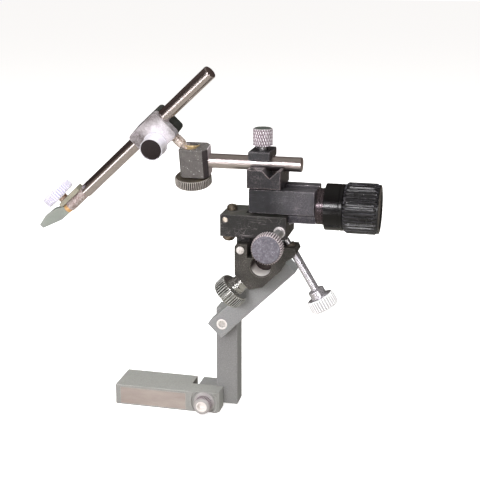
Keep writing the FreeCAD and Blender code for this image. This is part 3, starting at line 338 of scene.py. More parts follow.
def gloss_black():
    """Polished black anodising with a clear deep gloss and tiny dust specks."""
    f = Finish("gloss_black")
    dust = f.cells(1.6).between(0.12, 0.04) * f.noise(4.0).between(0.55, 0.7)
    tone = f.mix((4, 4, 5), (52, 56, 58), dust * 0.5)
    smear = f.noise(8.0, 3.0).between(0.3, 0.7)
    return f.close(tone, 0.2 + smear * 0.06, 0.0, f.turning_marks((1, 0, 0)), 0.01, edge=0.0)


def ribbed_black():
    """Black ribbed grip: satin tops, grooves painted darker as painted shade, grey along the rib edges as
    both rubbing and painted highlight, and white painted sparkle.
    """
    f = Finish("ribbed_black")
    clouds = f.noise(4.0, 4.0, 0.6).between(0.35, 0.65)
    tone = f.mix((11, 11, 13), (22, 22, 25), clouds)
    depth = f.node("ShaderNodeAttribute", settings={"attribute_name": "groove"}, out="Fac")
    # painted shade: the grooves are painted near black by their depth
    tone = f.mix(tone, (3, 3, 4), depth.between(0.3, 0.7))
    # rib edges painted grey, partly rubbing and partly a painted highlight
    rib_edge = depth.between(0.0, 0.15) * depth.between(0.45, 0.2)
    edges = rib_edge * f.noise(2.2, 4.0, 0.7, (0.3, 1.0, 1.0)).between(0.4, 0.6)
    tone = f.mix(tone, (150, 148, 160), edges * 0.3)
    # painted highlight: small white sparkle spots scattered over the ribs
    painted_sparkle = f.cells(1.6).between(0.16, 0.06) * f.noise(3.0).between(0.5, 0.6)
    tone = f.mix(tone, (216, 210, 214), painted_sparkle * 0.8)
    return f.close(tone, 0.24 + clouds * 0.1, 0.0, f.noise(0.3), 0.004, edge=0.0, specular=0.7)


def cast_grey(middle):
    """Bead-blasted grey block with pale pin-point flaws, its right side painted with a dark band of shade and
    a bright band of highlight.
    """
    f = Finish("blasted_grey")
    clouds = f.noise(4.0, 5.0, 0.65).between(0.3, 0.7)
    tone = f.mix((95, 92, 91), (117, 113, 111), clouds)
    grit = f.noise(0.5, 3.0, 0.7)
    tone = f.mix(tone, (80, 78, 76), grit.between(0.5, 0.34) * 0.6)
    specks = f.cells(1.3).between(0.26, 0.12) * f.noise(2.0).between(0.48, 0.56)
    tone = f.mix(tone, (222, 220, 220), specks * 0.8)
    edges = f.edge_wear(0.45, 4.0) * f.noise(1.5).between(0.4, 0.6)
    tone = f.mix(tone, (216, 212, 212), edges * 0.7)
    # painted shade and highlight on the right-facing faces: dark towards the front, light towards the back
    across, _, _ = f.parts_of(f.node("ShaderNodeTexCoord", out="Normal"))
    painted_side = across.between(0.3, 0.6)
    _, depth, height = f.parts_of(f.place)
    behind = depth - middle.y + (height - middle.z) * math.tan(BALL_ROLL)
    side = f.mix((56, 50, 52), (250, 240, 246), behind.between(-4.0, -2.8))
    tone = f.mix(tone, side, painted_side * 0.85)
    return f.close(tone, 0.4 + clouds * 0.12, 0.3, f.noise(0.2, 2.0), 0.008, edge=0.3)


def centre_of(node):
    """Middle of a CAD piece's box, in millimetres."""
    points = [vertex.co for vertex in frame["nodes"][node].data.vertices]
    low = Vector([min(p[k] for p in points) for k in range(3)])
    high = Vector([max(p[k] for p in points) for k in range(3)])
    return (low + high) / 2 / MM


arm_grey = satin_coat("arm_grey", (146, 147, 148), (154, 155, 155))
post_grey = satin_coat("post_grey", (134, 134, 134), (142, 142, 141))
base_grey = satin_coat("base_grey", (152, 152, 149), (159, 159, 155))
pad_tan = bare_pad_finish()
slide_dark = dark_metal("blackened_steel", (25, 26, 24), (36, 35, 34), (166, 158, 160), 0.42, 0.45, 0.17, 0.5,
                        lit_top=0.4)
body_black = dark_metal("black_body", (20, 20, 23), (38, 38, 42), (208, 200, 206), 0.36, 0.8, 0.34, 0.08,
                        paler_from=centre_of("carriage").x)
gunmetal = dark_metal("gunmetal", (27, 27, 30), (40, 39, 42), (232, 214, 216), 0.34, 0.8, 0.16, 0.06, 0.35)
bridge_black = dark_metal("bridge_black", (28, 29, 31), (40, 40, 43), (208, 200, 206), 0.36, 0.8, 0.16, 0.06)
bracket_black = dark_metal("bracket_black", (45, 43, 40), (60, 57, 53), (170, 164, 156), 0.42, 0.35, 0.4)
rear_black = dark_metal("rear_black", (36, 38, 36), (50, 52, 49), (150, 148, 142), 0.46, 0.25, 0.2)
block_grey = cast_grey(centre_of("joint_block"))
silver = satin_plate(centre_of("clamp_front") + Vector((4.0, 0.0, 2.0)))
barrel_black = gloss_black()
grip_black = ribbed_black()
bright_steel = plated("bright_steel", (226, 224, 224), (190, 187, 188), 0.26, metallic=0.85)
foot_steel = plated("foot_steel", (206, 202, 202), (160, 156, 156), 0.3, metallic=0.5)
ring_white = plated("ring_white", (250, 246, 243), (228, 220, 216), 0.3, metallic=0.2)
liner_steel = bore_liner(joints["bracket_turn"]["pos_m"][2] / MM)
aubergine = granular("aubergine", (25, 13, 17), (44, 30, 35), (16, 9, 12), 0.3, 0.3)
# painted shade: the stub end's dark brown is deepened, as it sits deep in the bore
stub_shaded_brown = plated("stub_shaded_brown", (40, 28, 25), (28, 20, 18), 0.4, metallic=0.2)
knob_face = granular("knob_face", (98, 95, 104), (152, 149, 158), (72, 69, 77), 0.36, 0.3, 0.9)
pin_end = granular("pin_end", (206, 200, 196), (246, 242, 240), (136, 128, 124), 0.3, 0.4)
pin_gold = granular("pin_gold", (236, 220, 200), (255, 250, 246), (150, 112, 72), 0.28, 0.3, 1.2)
grip_plate_gold = granular("grip_plate_gold", (172, 168, 152), (200, 196, 182), (136, 130, 114), 0.36)
cap_green = granular("cap_green", (106, 112, 108), (136, 142, 138), (84, 90, 88), 0.36)
sleeve_silver = granular("sleeve_silver", (166, 146, 142), (252, 246, 246), (112, 78, 70), 0.26, 0.3, 1.3)
coarse_rim = knurled("coarse_rim", (236, 224, 228), (196, 182, 186), (104, 92, 96), 0.26, 0.4)
clamp_rim = knurled("clamp_rim", (212, 213, 209), (134, 134, 128), (6, 5, 5), 0.18, 0.5)
clamp_chrome = plated("clamp_chrome", (206, 206, 202), (156, 156, 152), 0.15, metallic=0.9,
                      axis=tuple(joints["rod_clamp_turn"]["axis"]), marks=0.003)
tilt_steel = plated("tilt_steel", (226, 224, 229), (186, 183, 190), 0.24, metallic=0.8,
                    axis=tuple(joints["tilt_turn"]["axis"]), marks=0.003)
tilt_rim = knurled("tilt_rim", (252, 252, 252), (240, 239, 241), (190, 188, 190), 0.34, 0.1)
joint_rim = knurled("joint_rim", (196, 190, 184), (150, 144, 138), (48, 43, 40), 0.34, 0.4)
joint_top = dark_metal("joint_top", (84, 76, 62), (64, 59, 52), (196, 180, 160), 0.34, 0.4, 0.2)
neck_steel = plated("neck_steel", (104, 94, 98), (66, 56, 58), 0.22, metallic=0.8, axis=(1, 0, 0))
thumb_rim = knurled("thumb_rim", (236, 231, 236), (214, 206, 212), (128, 114, 122), 0.3, 0.2)
white_rim = knurled("white_rim", (240, 238, 246), (232, 229, 240), (196, 190, 218), 0.4, 0.1)
knob_white = plated("knob_white", (242, 240, 248), (206, 202, 212), 0.2, metallic=0.4)
brass = plated("brass", (226, 204, 160), (190, 158, 104), 0.26, metallic=0.6)
stem_steel = granular("stem_steel", (222, 204, 192), (255, 251, 248), (146, 104, 72), 0.2, 0.5, 1.4)
ring_gold = plated("ring_gold", (252, 212, 152), (216, 160, 102), 0.24, metallic=0.45)
hub_copper = granular("hub_copper", (186, 142, 116), (250, 236, 224), (120, 86, 66), 0.26, 0.4, 1.4)
dull_brass = plated("dull_brass", (112, 102, 92), (80, 72, 64), 0.36, metallic=0.5)
lock_dark = granular("lock_dark", (78, 72, 62), (176, 158, 138), (42, 40, 34), 0.24, 0.6, 1.2)
jaw_grey = satin_coat("jaw_grey", (158, 164, 156), (146, 154, 148))
dark_steel = plated("dark_steel", (84, 80, 80), (58, 55, 55), 0.32, metallic=0.8)


# Meshes
def object_from(name, points, faces, finish):
    mesh = bpy.data.meshes.new(name)
    mesh.from_pydata(points, [], faces)
    mesh.validate()
    mesh.shade_smooth()
    mesh.set_sharp_from_angle(angle=SHARP)
    mesh.materials.append(finish)
    made = bpy.data.objects.new(name, mesh)
    bpy.context.scene.collection.objects.link(made)
    return made


def baked(core):
    """The piece with its modifiers applied, as one plain mesh under the same name."""
    mesh = bpy.data.meshes.new_from_object(core.evaluated_get(bpy.context.evaluated_depsgraph_get()))
    name = core.name
    bpy.data.objects.remove(core)
    mesh.name = name
    mesh.shade_smooth()
    mesh.set_sharp_from_angle(angle=SHARP)
    made = bpy.data.objects.new(name, mesh)
    bpy.context.scene.collection.objects.link(made)
    return made


def arc_corner(before, corner, after, size):
    """Points that round one corner of an outline, by no more than 0.45 of either side."""
    steps = 4

    def toward(other):
        side = other - corner
        return corner + side.normalized() * min(size, side.length * 0.45)

    start, end = toward(before), toward(after)
    shares = [k / steps for k in range(steps + 1)]
    return [start * (1 - t) ** 2 + corner * (2 * t * (1 - t)) + end * t ** 2 for t in shares]


def eased(profile):
    """The (along, radius, rounding) profile as points, its corners rounded where a size is given."""
    points = [Vector(entry[:2]) for entry in profile]
    made = []
    for k, entry in enumerate(profile):
        size = entry[2] if len(entry) > 2 else 0
        if size and 0 < k < len(profile) - 1:
            made += arc_corner(points[k - 1], points[k], points[k + 1], size)
        else:
            made.append(points[k])
    return made


def lathe_points(profile):
    """Points and faces of a solid turned about Z, from one end of its axis to the other."""
    points, faces, rings = [], [], []
    for along, radius in eased(profile):
        if radius < 1e-6:
            rings.append([len(points)] * ROUND_STEPS)
            points.append((0, 0, along * MM))
            continue
        rings.append(list(range(len(points), len(points) + ROUND_STEPS)))
        for k in range(ROUND_STEPS):
            a = TAU * k / ROUND_STEPS
            points.append((radius * math.cos(a) * MM, radius * math.sin(a) * MM, along * MM))
    for low, high in zip(rings, rings[1:]):
        for k in range(ROUND_STEPS):
            after = (k + 1) % ROUND_STEPS
            face = list(dict.fromkeys([low[k], low[after], high[after], high[k]]))
            if len(face) > 2:
                faces.append(face)
    return points, faces


def aim(point, direction):
    """Matrix that takes the Z axis to a line through a point."""
    return Matrix.Translation(point) @ direction.to_track_quat("Z", "Y").to_matrix().to_4x4()


def joint_line(name):
    return aim(Vector(joints[name]["pos_m"]), Vector(joints[name]["axis"]))


def upright(node):
    """The vertical line through the middle of a CAD piece."""
    middle = centre_of(node) * MM
    return Matrix.Translation((middle.x, middle.y, 0))


def settle(made, place, body, nodes=()):
    """Puts a finished piece in its place in its mesh, and on its body."""
    made.data.transform(place)
    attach(made, body)
    if nodes:
        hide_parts(*nodes)


# A band wrapped round a turned core: straight knurls, crossed knurls or broad ribs
def band_tree():
    tree = bpy.data.node_groups.new("wrapped_band", "GeometryNodeTree")
    tree.interface.new_socket("Core", in_out="INPUT", socket_type="NodeSocketGeometry")
    numbers = ("Teeth", "Twist", "Crossed", "Radius", "Depth", "Root", "Start", "Length",
               "End", "Top", "Floor")
    for name in numbers:
        tree.interface.new_socket(name, in_out="INPUT", socket_type="NodeSocketFloat")
    for name in ("Around", "Along"):
        tree.interface.new_socket(name, in_out="INPUT", socket_type="NodeSocketInt")
    tree.interface.new_socket("Finish", in_out="INPUT", socket_type="NodeSocketMaterial")
    tree.interface.new_socket("Band", in_out="OUTPUT", socket_type="NodeSocketGeometry")
    g = Graph(tree)
    entry = tree.nodes.new("NodeGroupInput")
    given = {output.name: Wire(g, output) for output in entry.outputs}
    sheet = g.node("GeometryNodeMeshGrid", {"Size X": 1.0, "Size Y": 1.0,
                                            "Vertices X": given["Around"], "Vertices Y": given["Along"]})
    x, y, _ = g.parts_of(g.node("GeometryNodeInputPosition"))
    turn = x + 0.5
    along = y + 0.5

    def wave(phase):
        # 0 on the top of a tooth and 1 on the floor between two
        within = g.maths("FRACT", phase)
        off_top = g.maths("ABSOLUTE", within - 0.5) * 2.0
        rise = off_top - given["Top"]
        return (rise / (1.0 - given["Top"] - given["Floor"])).clamped()

    straight = wave(turn * given["Teeth"] + along * given["Twist"] + 0.5)
    other = wave(turn * given["Teeth"] - along * given["Twist"] + 0.5)
    groove = straight.most(other * given["Crossed"])
    from_end = along.least(1.0 - along) * given["Length"]
    full = (from_end / given["End"]).clamped()
    tall = given["Radius"] - given["Root"] - groove * given["Depth"]
    radius = given["Root"] + tall * full
    angle = turn * TAU
    place = g.vector(g.maths("COSINE", angle) * radius, g.maths("SINE", angle) * radius,
                     given["Start"] + along * given["Length"])
    marked = sheet
    for mark, value in (("groove", groove * full), ("banded", 1.0)):
        marked = g.node("GeometryNodeStoreNamedAttribute",
                        {"Geometry": marked, "Name": mark, "Value": value},
                        {"data_type": "FLOAT", "domain": "POINT"})
    wrapped = g.node("GeometryNodeSetPosition", {"Geometry": marked, "Position": place})
    closed = g.node("GeometryNodeMergeByDistance", {"Geometry": wrapped, "Distance": 0.005 * MM})
    joined = tree.nodes.new("GeometryNodeJoinGeometry")
    tree.links.new(given["Core"].socket, joined.inputs[0])
    tree.links.new(closed.socket, joined.inputs[0])
    solid = g.node("GeometryNodeRealizeInstances", {"Geometry": Wire(g, joined.outputs[0])})
    banded = g.node("GeometryNodeInputNamedAttribute", {"Name": "banded"}, {"data_type": "FLOAT"})
    painted = g.node("GeometryNodeSetMaterial",
                     {"Geometry": solid, "Selection": g.maths("GREATER_THAN", banded, 0.5),
                      "Material": given["Finish"]})
    leave = tree.nodes.new("NodeGroupOutput")
    tree.links.new(painted.socket, leave.inputs[0])
    return tree


wrapped_band = band_tree()


def with_band(core, finish, teeth, radius, depth, root, start, length, end, top=0.12, floor=0.12,
              twist=0.0, crossed=0.0, around=6, along=8):
    """The core with a band of teeth or ribs round it, as one plain mesh."""
    modifier = core.modifiers.new("band", "NODES")
    modifier.node_group = wrapped_band
    sizes = {"Teeth": float(teeth), "Twist": float(twist), "Crossed": float(crossed),
             "Radius": radius * MM, "Depth": depth * MM, "Root": root * MM, "Start": start * MM,
             "Length": length * MM, "End": end * MM, "Top": top, "Floor": floor,
             "Around": int(teeth * around) + 1, "Along": int(along), "Finish": finish}
    for item in wrapped_band.interface.items_tree:
        if item.in_out == "INPUT" and item.name in sizes:
            modifier[item.identifier] = sizes[item.name]
    return baked(core)


def shank_of(node, place):
    """Radius of the part of a CAD piece that is sunk into its hole."""
    back = place.inverted()
    points = [back @ vertex.co for vertex in frame["nodes"][node].data.vertices]
    low = min(p.z for p in points)
    return max(p.xy.length for p in points if p.z < low + 0.2 * MM) / MM


def turned(name, profile, finish):
    points, faces = lathe_points(profile)
    return object_from(name, points, faces, finish)


def reach(node, place):
    """Where a CAD piece starts and ends along a line, and how far out it goes, in millimetres."""
    back = place.inverted()
    points = [back @ vertex.co for vertex in frame["nodes"][node].data.vertices]
    return (min(p.z for p in points) / MM, max(p.z for p in points) / MM,
            max(p.xy.length for p in points) / MM)


def ground(name, place, roughness):
    """Chrome with the fine marks that grinding leaves round the axis of a rod."""
    axis = tuple(place.to_3x3() @ Vector((0, 0, 1)))
    return plated(name, (222, 212, 210), (200, 188, 186), roughness, axis=axis, marks=0.002)


def dome(start, radius, height):
    """Profile points of a domed end, from its rim to the axis."""
    steps = 8
    turns = [k / steps * math.pi / 2 for k in range(steps)]
    return [(start + height * math.sin(a), radius * math.cos(a)) for a in turns] + [(start + height, 0)]


def slotted(core, width, depth, top, half):
    """The core with a straight screwdriver slot cut across its top."""
    x, y, low, high = half * MM, width / 2 * MM, (top - depth) * MM, (top + 1) * MM
    points = [(a, b, c) for a in (-x, x) for b in (-y, y) for c in (low, high)]
    faces = [(0, 1, 3, 2), (4, 6, 7, 5), (0, 4, 5, 1), (2, 3, 7, 6), (0, 2, 6, 4), (1, 5, 7, 3)]
    cutter = object_from("slot_cutter", points, faces, lock_dark)
    modifier = core.modifiers.new("slot", "BOOLEAN")
    modifier.operation = "DIFFERENCE"
    modifier.object = cutter
    made = baked(core)
    bpy.data.objects.remove(cutter)
    return made


# Pieces, most of them turned on the line of their own joint
def hex_socket(name, finish, flats, start, depth, wall_radius):
    """The blind hexagonal hole of a cap screw, with a ring round it out to wall_radius."""
    points, faces = [], []
    corner = flats / math.sqrt(3)
    steps = 48
    levels = [(start, wall_radius, False), (start, corner, True), (start - depth, corner, True)]
    rings = []
    for along, radius, hexagon in levels:
        ring = []
        for k in range(steps):
            a = TAU * k / steps
            r = radius
            if hexagon:
                within = (a % (TAU / 6)) - TAU / 12
                r = radius * math.cos(TAU / 12) / math.cos(within)
            ring.append(len(points))
            points.append((r * math.cos(a) * MM, r * math.sin(a) * MM, along * MM))
        rings.append(ring)
    for outer, inner in zip(rings, rings[1:]):
        for k in range(steps):
            after = (k + 1) % steps
            faces.append([outer[k], outer[after], inner[after], inner[k]])
    tip = len(points)
    points.append((0, 0, (start - depth - corner * 0.3) * MM))
    for k in range(steps):
        faces.append([rings[-1][k], rings[-1][(k + 1) % steps], tip])
    return object_from(name, points, faces, finish)


def foot_screw():
    place = joint_line("foot_hinge")
    low, high, out = reach("foot_screw", place)
    floor, seat, washer_out = reach("foot_washer", place)
    core, shank = out - 0.35, 3.0
    socket_rim, flats, socket_depth = 3.4, 5.0, 3.2
    profile = [(low, 0), (low, shank, 0.4), (seat, shank), (seat, core), (high - 1.0, core),
               (high, core, 0.8), (high, socket_rim)]
    head = turned("foot_screw_head", profile, foot_steel)
    head = with_band(head, coarse_rim, 40, out, 0.3, core - 0.05, seat + 0.15, high - seat - 0.9, 0.4)
    settle(head, place, "post", ["foot_screw"])
    # painted reflection: the socket is made bright white, standing in for light reflected from its bottom
    socket = hex_socket("foot_screw_socket", ring_white, flats, high, socket_depth, socket_rim)
    settle(socket, place, "post")
    bore = shank + 0.05
    ring = turned("foot_washer_ring", [(floor, bore), (floor, washer_out), (seat, washer_out, 0.3),
                                       (seat, bore)], foot_steel)
    settle(ring, place, "post", ["foot_washer"])


def elbow_pin():
    place = joint_line("elbow_hinge")
    low, high, out = reach("elbow_bush", place)
    bore, start = 2.05, low + 0.2
    bush = turned("elbow_ring", [(start, bore), (start, out), (high, out, 0.35), (high, bore + 0.3, 0.2),
                                 (high - 0.35, bore)], ring_white)
    settle(bush, place, "upper_arm", ["elbow_bush"])
    low, high, out = reach("elbow_pin", place)
    pin = turned("elbow_pin_end", [(low, 0), (low, out), (high, out, 0.3), (high, 0.6, 0.3),
                                   (high - 0.15, 0)], pin_end)
    settle(pin, place, "post", ["elbow_pin"])


def bore_and_stub():
    place = joint_line("bracket_turn")
    low, high, out = reach("bore_sleeve", place)
    inner = out - 0.6
    lip = high - 0.8
    sleeve = turned("bore_liner", [(low, inner), (low, out), (lip, out), (lip, inner), (low, inner)],
                    liner_steel)
    settle(sleeve, place, "bracket", ["bore_sleeve"])
    edge = turned("bore_liner_lip", [(lip, inner), (lip, out), (high - 0.15, out), (high - 0.35, inner),
                                     (lip, inner)], bracket_black)
    settle(edge, place, "bracket")
    low, high, out = reach("stub_rod", place)
    stub = turned("stub_rod_end", [(low, 0), (low, out), (high, out, 0.6), (high, 0)], stub_shaded_brown)
    settle(stub, place, "upper_arm", ["stub_rod"])


def rod_clamp_knob():
    place = joint_line("rod_clamp_turn")
    flat, rest, out = reach("clamp_washer", place)
    bore, out = 2.3, out - 0.1
    washer = turned("clamp_washer_ring", [(flat, bore), (flat, out), (rest, out, 0.35), (rest, bore)],
                    bright_steel)
    settle(washer, place, "bracket", ["clamp_washer"])
    low, high, out = reach("rod_clamp_knob", place)
    rest += 0.1
    stem, hub, flange = 2.15, 5.1, 6.1
    collar, head = rest + 1.8, high - 8.3
    core = out - 0.65
    profile = [(low, 0), (low, stem), (rest, stem), (rest, hub - 0.3, 0.3), (collar, hub, 0.2),
               (collar, flange, 0.3), (collar + 1.2, flange, 0.3), (collar + 1.2, hub - 0.4, 0.2),
               (head - 3.2, hub - 0.4, 0.3), (head - 2.6, hub, 0.3), (head, hub, 0.8), (head, core, 0.4),
               (high - 0.3, core, 0.3), (high, core - 0.6, 0.4), (high, core - 2.4, 0.3),
               (high - 0.4, core - 2.8, 0.3), (high - 0.4, 0)]
    knob = turned("rod_clamp_head", profile, clamp_chrome)
    knob = with_band(knob, clamp_rim, 38, out, 0.7, core - 0.1, head + 0.2, high - head - 0.4, 0.6,
                     0.26, 0.3)
    settle(knob, place, "rod_clamp_knob", ["rod_clamp_knob"])


def tilt_pieces():
    place = joint_line("tilt_hinge")
    low, high, out = reach("tilt_pin", place)
    pin = turned("tilt_pin_end", [(low, 0), (low, out), (high, out, 0.6), (high + 0.1, 0)], pin_end)
    settle(pin, place, "bracket", ["tilt_pin"])
    place = joint_line("tilt_turn")
    low, high, out = reach("tilt_bush", place)
    bore = 2.45
    bush = turned("tilt_bush_ring", [(low, bore), (low, out), (high, out, 0.3), (high, bore, 0.2)],
                  dull_brass)
    settle(bush, place, "bracket", ["tilt_bush"])
    low, high, out = reach("tilt_screw", place)
    head = low + 7.7
    top = head + 4.5
    core = out - 0.7
    shaft, collar = 2.35, 4.55
    profile = [(low, 0), (low, core - 0.4, 0.6), (low + 0.4, core, 0.3), (head - 0.4, core, 0.3),
               (head, core - 0.5, 0.4), (head, collar, 0.2), (top - 0.6, collar, 0.5),
               (top, collar - 0.6, 0.4), (top, shaft, 0.3), (high, shaft, 0.3), (high, 0)]
    screw = turned("tilt_screw_head", profile, tilt_steel)
    screw = with_band(screw, tilt_rim, 32, out, 0.6, core - 0.1, low + 0.2, head - low - 0.4, 0.5, 0.34, 0.1)
    settle(screw, place, "tilt_screw", ["tilt_screw"])


def coarse_knob():
    place = joint_line("coarse_turn")
    low, high, out = reach("coarse_knob", place)
    back = high - 2.0
    core = out - 0.65
    boss, bore = 4.5, 2.55
    profile = [(low, 0), (low, core - 0.5, 0.4), (low + 0.4, core, 0.4), (back - 0.4, core, 0.4),
               (back, core - 0.5, 0.4), (back, boss, 0.3), (high, boss, 0.3), (high, bore)]
    knob = turned("coarse_knob_head", profile, knob_face)
    knob = with_band(knob, coarse_rim, 38, out, 0.62, core - 0.05, low + 0.25, back - low - 0.5, 0.8,
                     0.3, 0.1)
    settle(knob, place, "pinion", ["coarse_knob"])


def fine_drive():
    place = joint_line("fine_turn")
    low, high, out = reach("drive_neck", place)
    bore = 3.05
    rings = 3
    step = (high - low) / rings
    groove = 0.55
    profile = [(low, bore), (low, out, 0.2)]
    for k in range(rings):
        start = low + step * k + groove
        profile += [(start, out, 0.15), (start, out - 0.7, 0.1), (start + groove, out - 0.7, 0.1),
                    (start + groove, out, 0.15)]
    profile += [(high, out, 0.2), (high, bore)]
    neck = turned("drive_neck_rings", profile, neck_steel)
    settle(neck, place, "carriage", ["drive_neck"])
    low, high, out = reach("drive_barrel", place)
    line = high - 1.9
    profile = [(low, bore), (low, out, 0.3), (line - 0.5, out, 0.1), (line - 0.3, out - 0.25, 0.1),
               (line, out - 0.25, 0.1), (line + 0.2, out, 0.1), (high, out, 0.5), (high, bore)]
    barrel = turned("drive_barrel_shell", profile, barrel_black)
    settle(barrel, place, "carriage", ["drive_barrel"])
    low, high, out = reach("fine_knob", place)
    core = out - 1.0
    rim = high - 0.9
    recess = 10.2
    profile = [(low, bore), (low, core - 0.4, 0.5), (low + 0.6, core, 0.4), (rim, core),
               (rim, out - 0.5, 0.2), (high - 0.3, out - 0.5, 0.3), (high, out - 1.0, 0.2),
               (high, recess + 0.4, 0.3), (high - 0.7, recess, 0.3), (high - 0.7, 0)]
    knob = turned("fine_knob_core", profile, grip_black)
    knob = with_band(knob, grip_black, 36, out, 0.7, core - 0.2, low + 0.1, rim - low + 0.3, 0.5, 0.4, 0.24,
                     around=12, along=12)
    settle(knob, place, "lead_screw", ["fine_knob"])


def thumbscrew():
    place = joint_line("thumb_turn")
    low, high, out = reach("thumbscrew", place)
    head = high - 9.6
    core = out - 0.4
    stem = 2.0
    cap = core - 0.3
    profile = [(low, 0), (low, stem), (head - 0.6, stem, 0.2), (head, stem + 1.6, 0.3),
               (head, core - 0.4, 0.3), (head + 0.4, core, 0.3), (high - 0.5, core, 0.3),
               (high - 0.15, cap, 0.3), (high - 0.15, 0)]
    knob = turned("thumbscrew_head", profile, bright_steel)
    knob = with_band(knob, thumb_rim, 24, out, 0.4, core - 0.05, head + 0.1, high - head - 0.5, 0.2,
                     0.3, 0.1, twist=2.5, crossed=0.5, around=8, along=48)
    settle(knob, place, "thumbscrew", ["thumbscrew"])
    top = turned("thumbscrew_cap", [(high - 0.3, 0.5), (high - 0.3, cap - 0.1), (high, cap - 0.3, 0.2),
                                    (high, 0)], cap_green)
    settle(top, place, "thumbscrew")


def rods():
    place = joint_line("joint_roll")
    low, high, out = reach("cross_rod", place)
    rod = turned("cross_rod_bar", [(low, 0), (low, out), (high, out, 0.7), (high, 0)],
                 ground("cross_rod_chrome", place, 0.27))
    settle(rod, place, "cross_rod", ["cross_rod"])
    place = joint_line("grip_roll")
    low, high, out = reach("holder_rod", place)
    rod = turned("holder_rod_bar", [(low, 0), (low, out, 0.3), (high, out, 0.7), (high, 0)],
                 ground("holder_rod_chrome", place, 0.2))
    settle(rod, place, "holder_rod", ["holder_rod"])


def joint_pieces():
    place = joint_line("joint_knob_turn")
    low, high, out = reach("joint_knob", place)
    head = high - 5.5
    core = out - 0.6
    stem, collar = 2.5, 4.1
    profile = [(low, 0), (low, stem), (head - 1.0, stem), (head - 1.0, collar, 0.3), (head, collar, 0.4),
               (head, core - 0.4, 0.4), (head + 0.4, core, 0.3), (high - 0.4, core, 0.3),
               (high, core - 0.6, 0.4), (high, 0)]
    knob = turned("joint_knob_head", profile, joint_top)
    knob = with_band(knob, joint_rim, 54, out, 0.6, core - 0.05, head + 0.2, high - head - 0.4, 0.7, 0.3, 0.1)
    settle(knob, place, "joint_knob", ["joint_knob"])
    place = joint_line("clamp_swivel")
    low, high, out = reach("ball_stud", place)
    ball_radius = -low
    neck, neck_end = 2.1, 6.2
    shank, sunk, shoulder = 2.8, 2.0, high - 5.6
    profile = []
    for k in range(25):
        a = math.pi * k / 24
        profile.append((-ball_radius * math.cos(a), ball_radius * math.sin(a)))
    neck_start = math.sqrt(ball_radius ** 2 - neck ** 2)
    profile = [p for p in profile if p[0] < neck_start] + [(neck_start, neck), (neck_start, 0)]
    ball = turned("ball_stud_ball", profile, brass)
    settle(ball, place, "ball_stud", ["ball_stud"])
    profile = [(neck_start, 0), (neck_start, neck), (neck_end, neck, 0.3), (neck_end + 1.0, shank, 0.3),
               (shoulder - 1.6, shank, 0.2), (shoulder - 1.4, shank - 0.3, 0.1),
               (shoulder - 1.0, shank - 0.3, 0.1), (shoulder - 0.8, shank, 0.2), (shoulder, shank, 0.2),
               (shoulder, sunk), (high, sunk), (high, 0)]
    stud = turned("ball_stud_stem", profile, stem_steel)
    settle(stud, place, "ball_stud")
    place = upright("ball_seat")
    block_top = reach("joint_block", place)[1]
    mouth, depth = 4.75, 1.5
    ring = turned("ball_cup_ring", [(block_top - depth, mouth - 0.7), (block_top - depth, mouth),
                                    (block_top - 0.5, mouth), (block_top - 0.8, mouth - 0.7, 0.1),
                                    (block_top - depth, mouth - 0.7)], brass)
    settle(ring, place, "joint_block")


def cross_knob():
    place = joint_line("cross_knob_turn")
    low, high, _ = reach("cross_knob", place)
    seat = high - 8.8
    stem, barrel = 2.0, 6.3
    face = barrel - 0.25
    flange = barrel + 0.5
    profile = [(low, 0), (low, stem), (seat, stem), (seat, flange, 0.4), (seat + 1.2, flange, 0.5),
               (seat + 1.2, barrel, 0.3), (high, barrel, 0.2), (high, face, 0.1),
               (high - 0.3, face - 0.1, 0.1), (high - 0.3, 0)]
    knob = turned("cross_knob_head", profile, knob_white)
    settle(knob, place, "cross_knob", ["cross_knob"])
    level = high - 0.12
    disc = turned("cross_knob_face", [(high - 0.5, 0.5), (high - 0.5, face - 0.2), (level, face - 0.35, 0.2),
                                      (level, 0)], aubergine)
    settle(disc, place, "cross_knob")


def grip_pieces():
    place = joint_line("grip_roll")
    low, high, out = reach("grip_ring", place)
    bore = 1.65
    ring = turned("grip_brass_ring", [(low, bore), (low, out, 0.3), (high, out, 0.3), (high, bore)],
                  ring_gold)
    settle(ring, place, "grip", ["grip_ring"])
    place = joint_line("grip_knob_turn")
    low, high, out = reach("grip_knob", place)
    head = high - 6.0
    core = out - 0.6
    hub, shank = 2.8, 1.3
    stem = turned("grip_knob_hub", [(low, 0), (low, shank), (head - 2.0, shank), (head - 2.0, hub, 0.3),
                                    (head, hub), (head, 0)], hub_copper)
    settle(stem, place, "grip_knob", ["grip_knob"])
    profile = [(head, 0), (head, core - 0.5, 0.3), (head + 0.4, core, 0.3), (high - 0.4, core, 0.3),
               (high, core - 0.6, 0.5), (high, 0)]
    knob = turned("grip_knob_head", profile, white_rim)
    knob = with_band(knob, white_rim, 38, out, 0.45, core - 0.05, head + 0.2, high - head - 0.4, 0.5,
                     0.34, 0.1)
    settle(knob, place, "grip_knob")


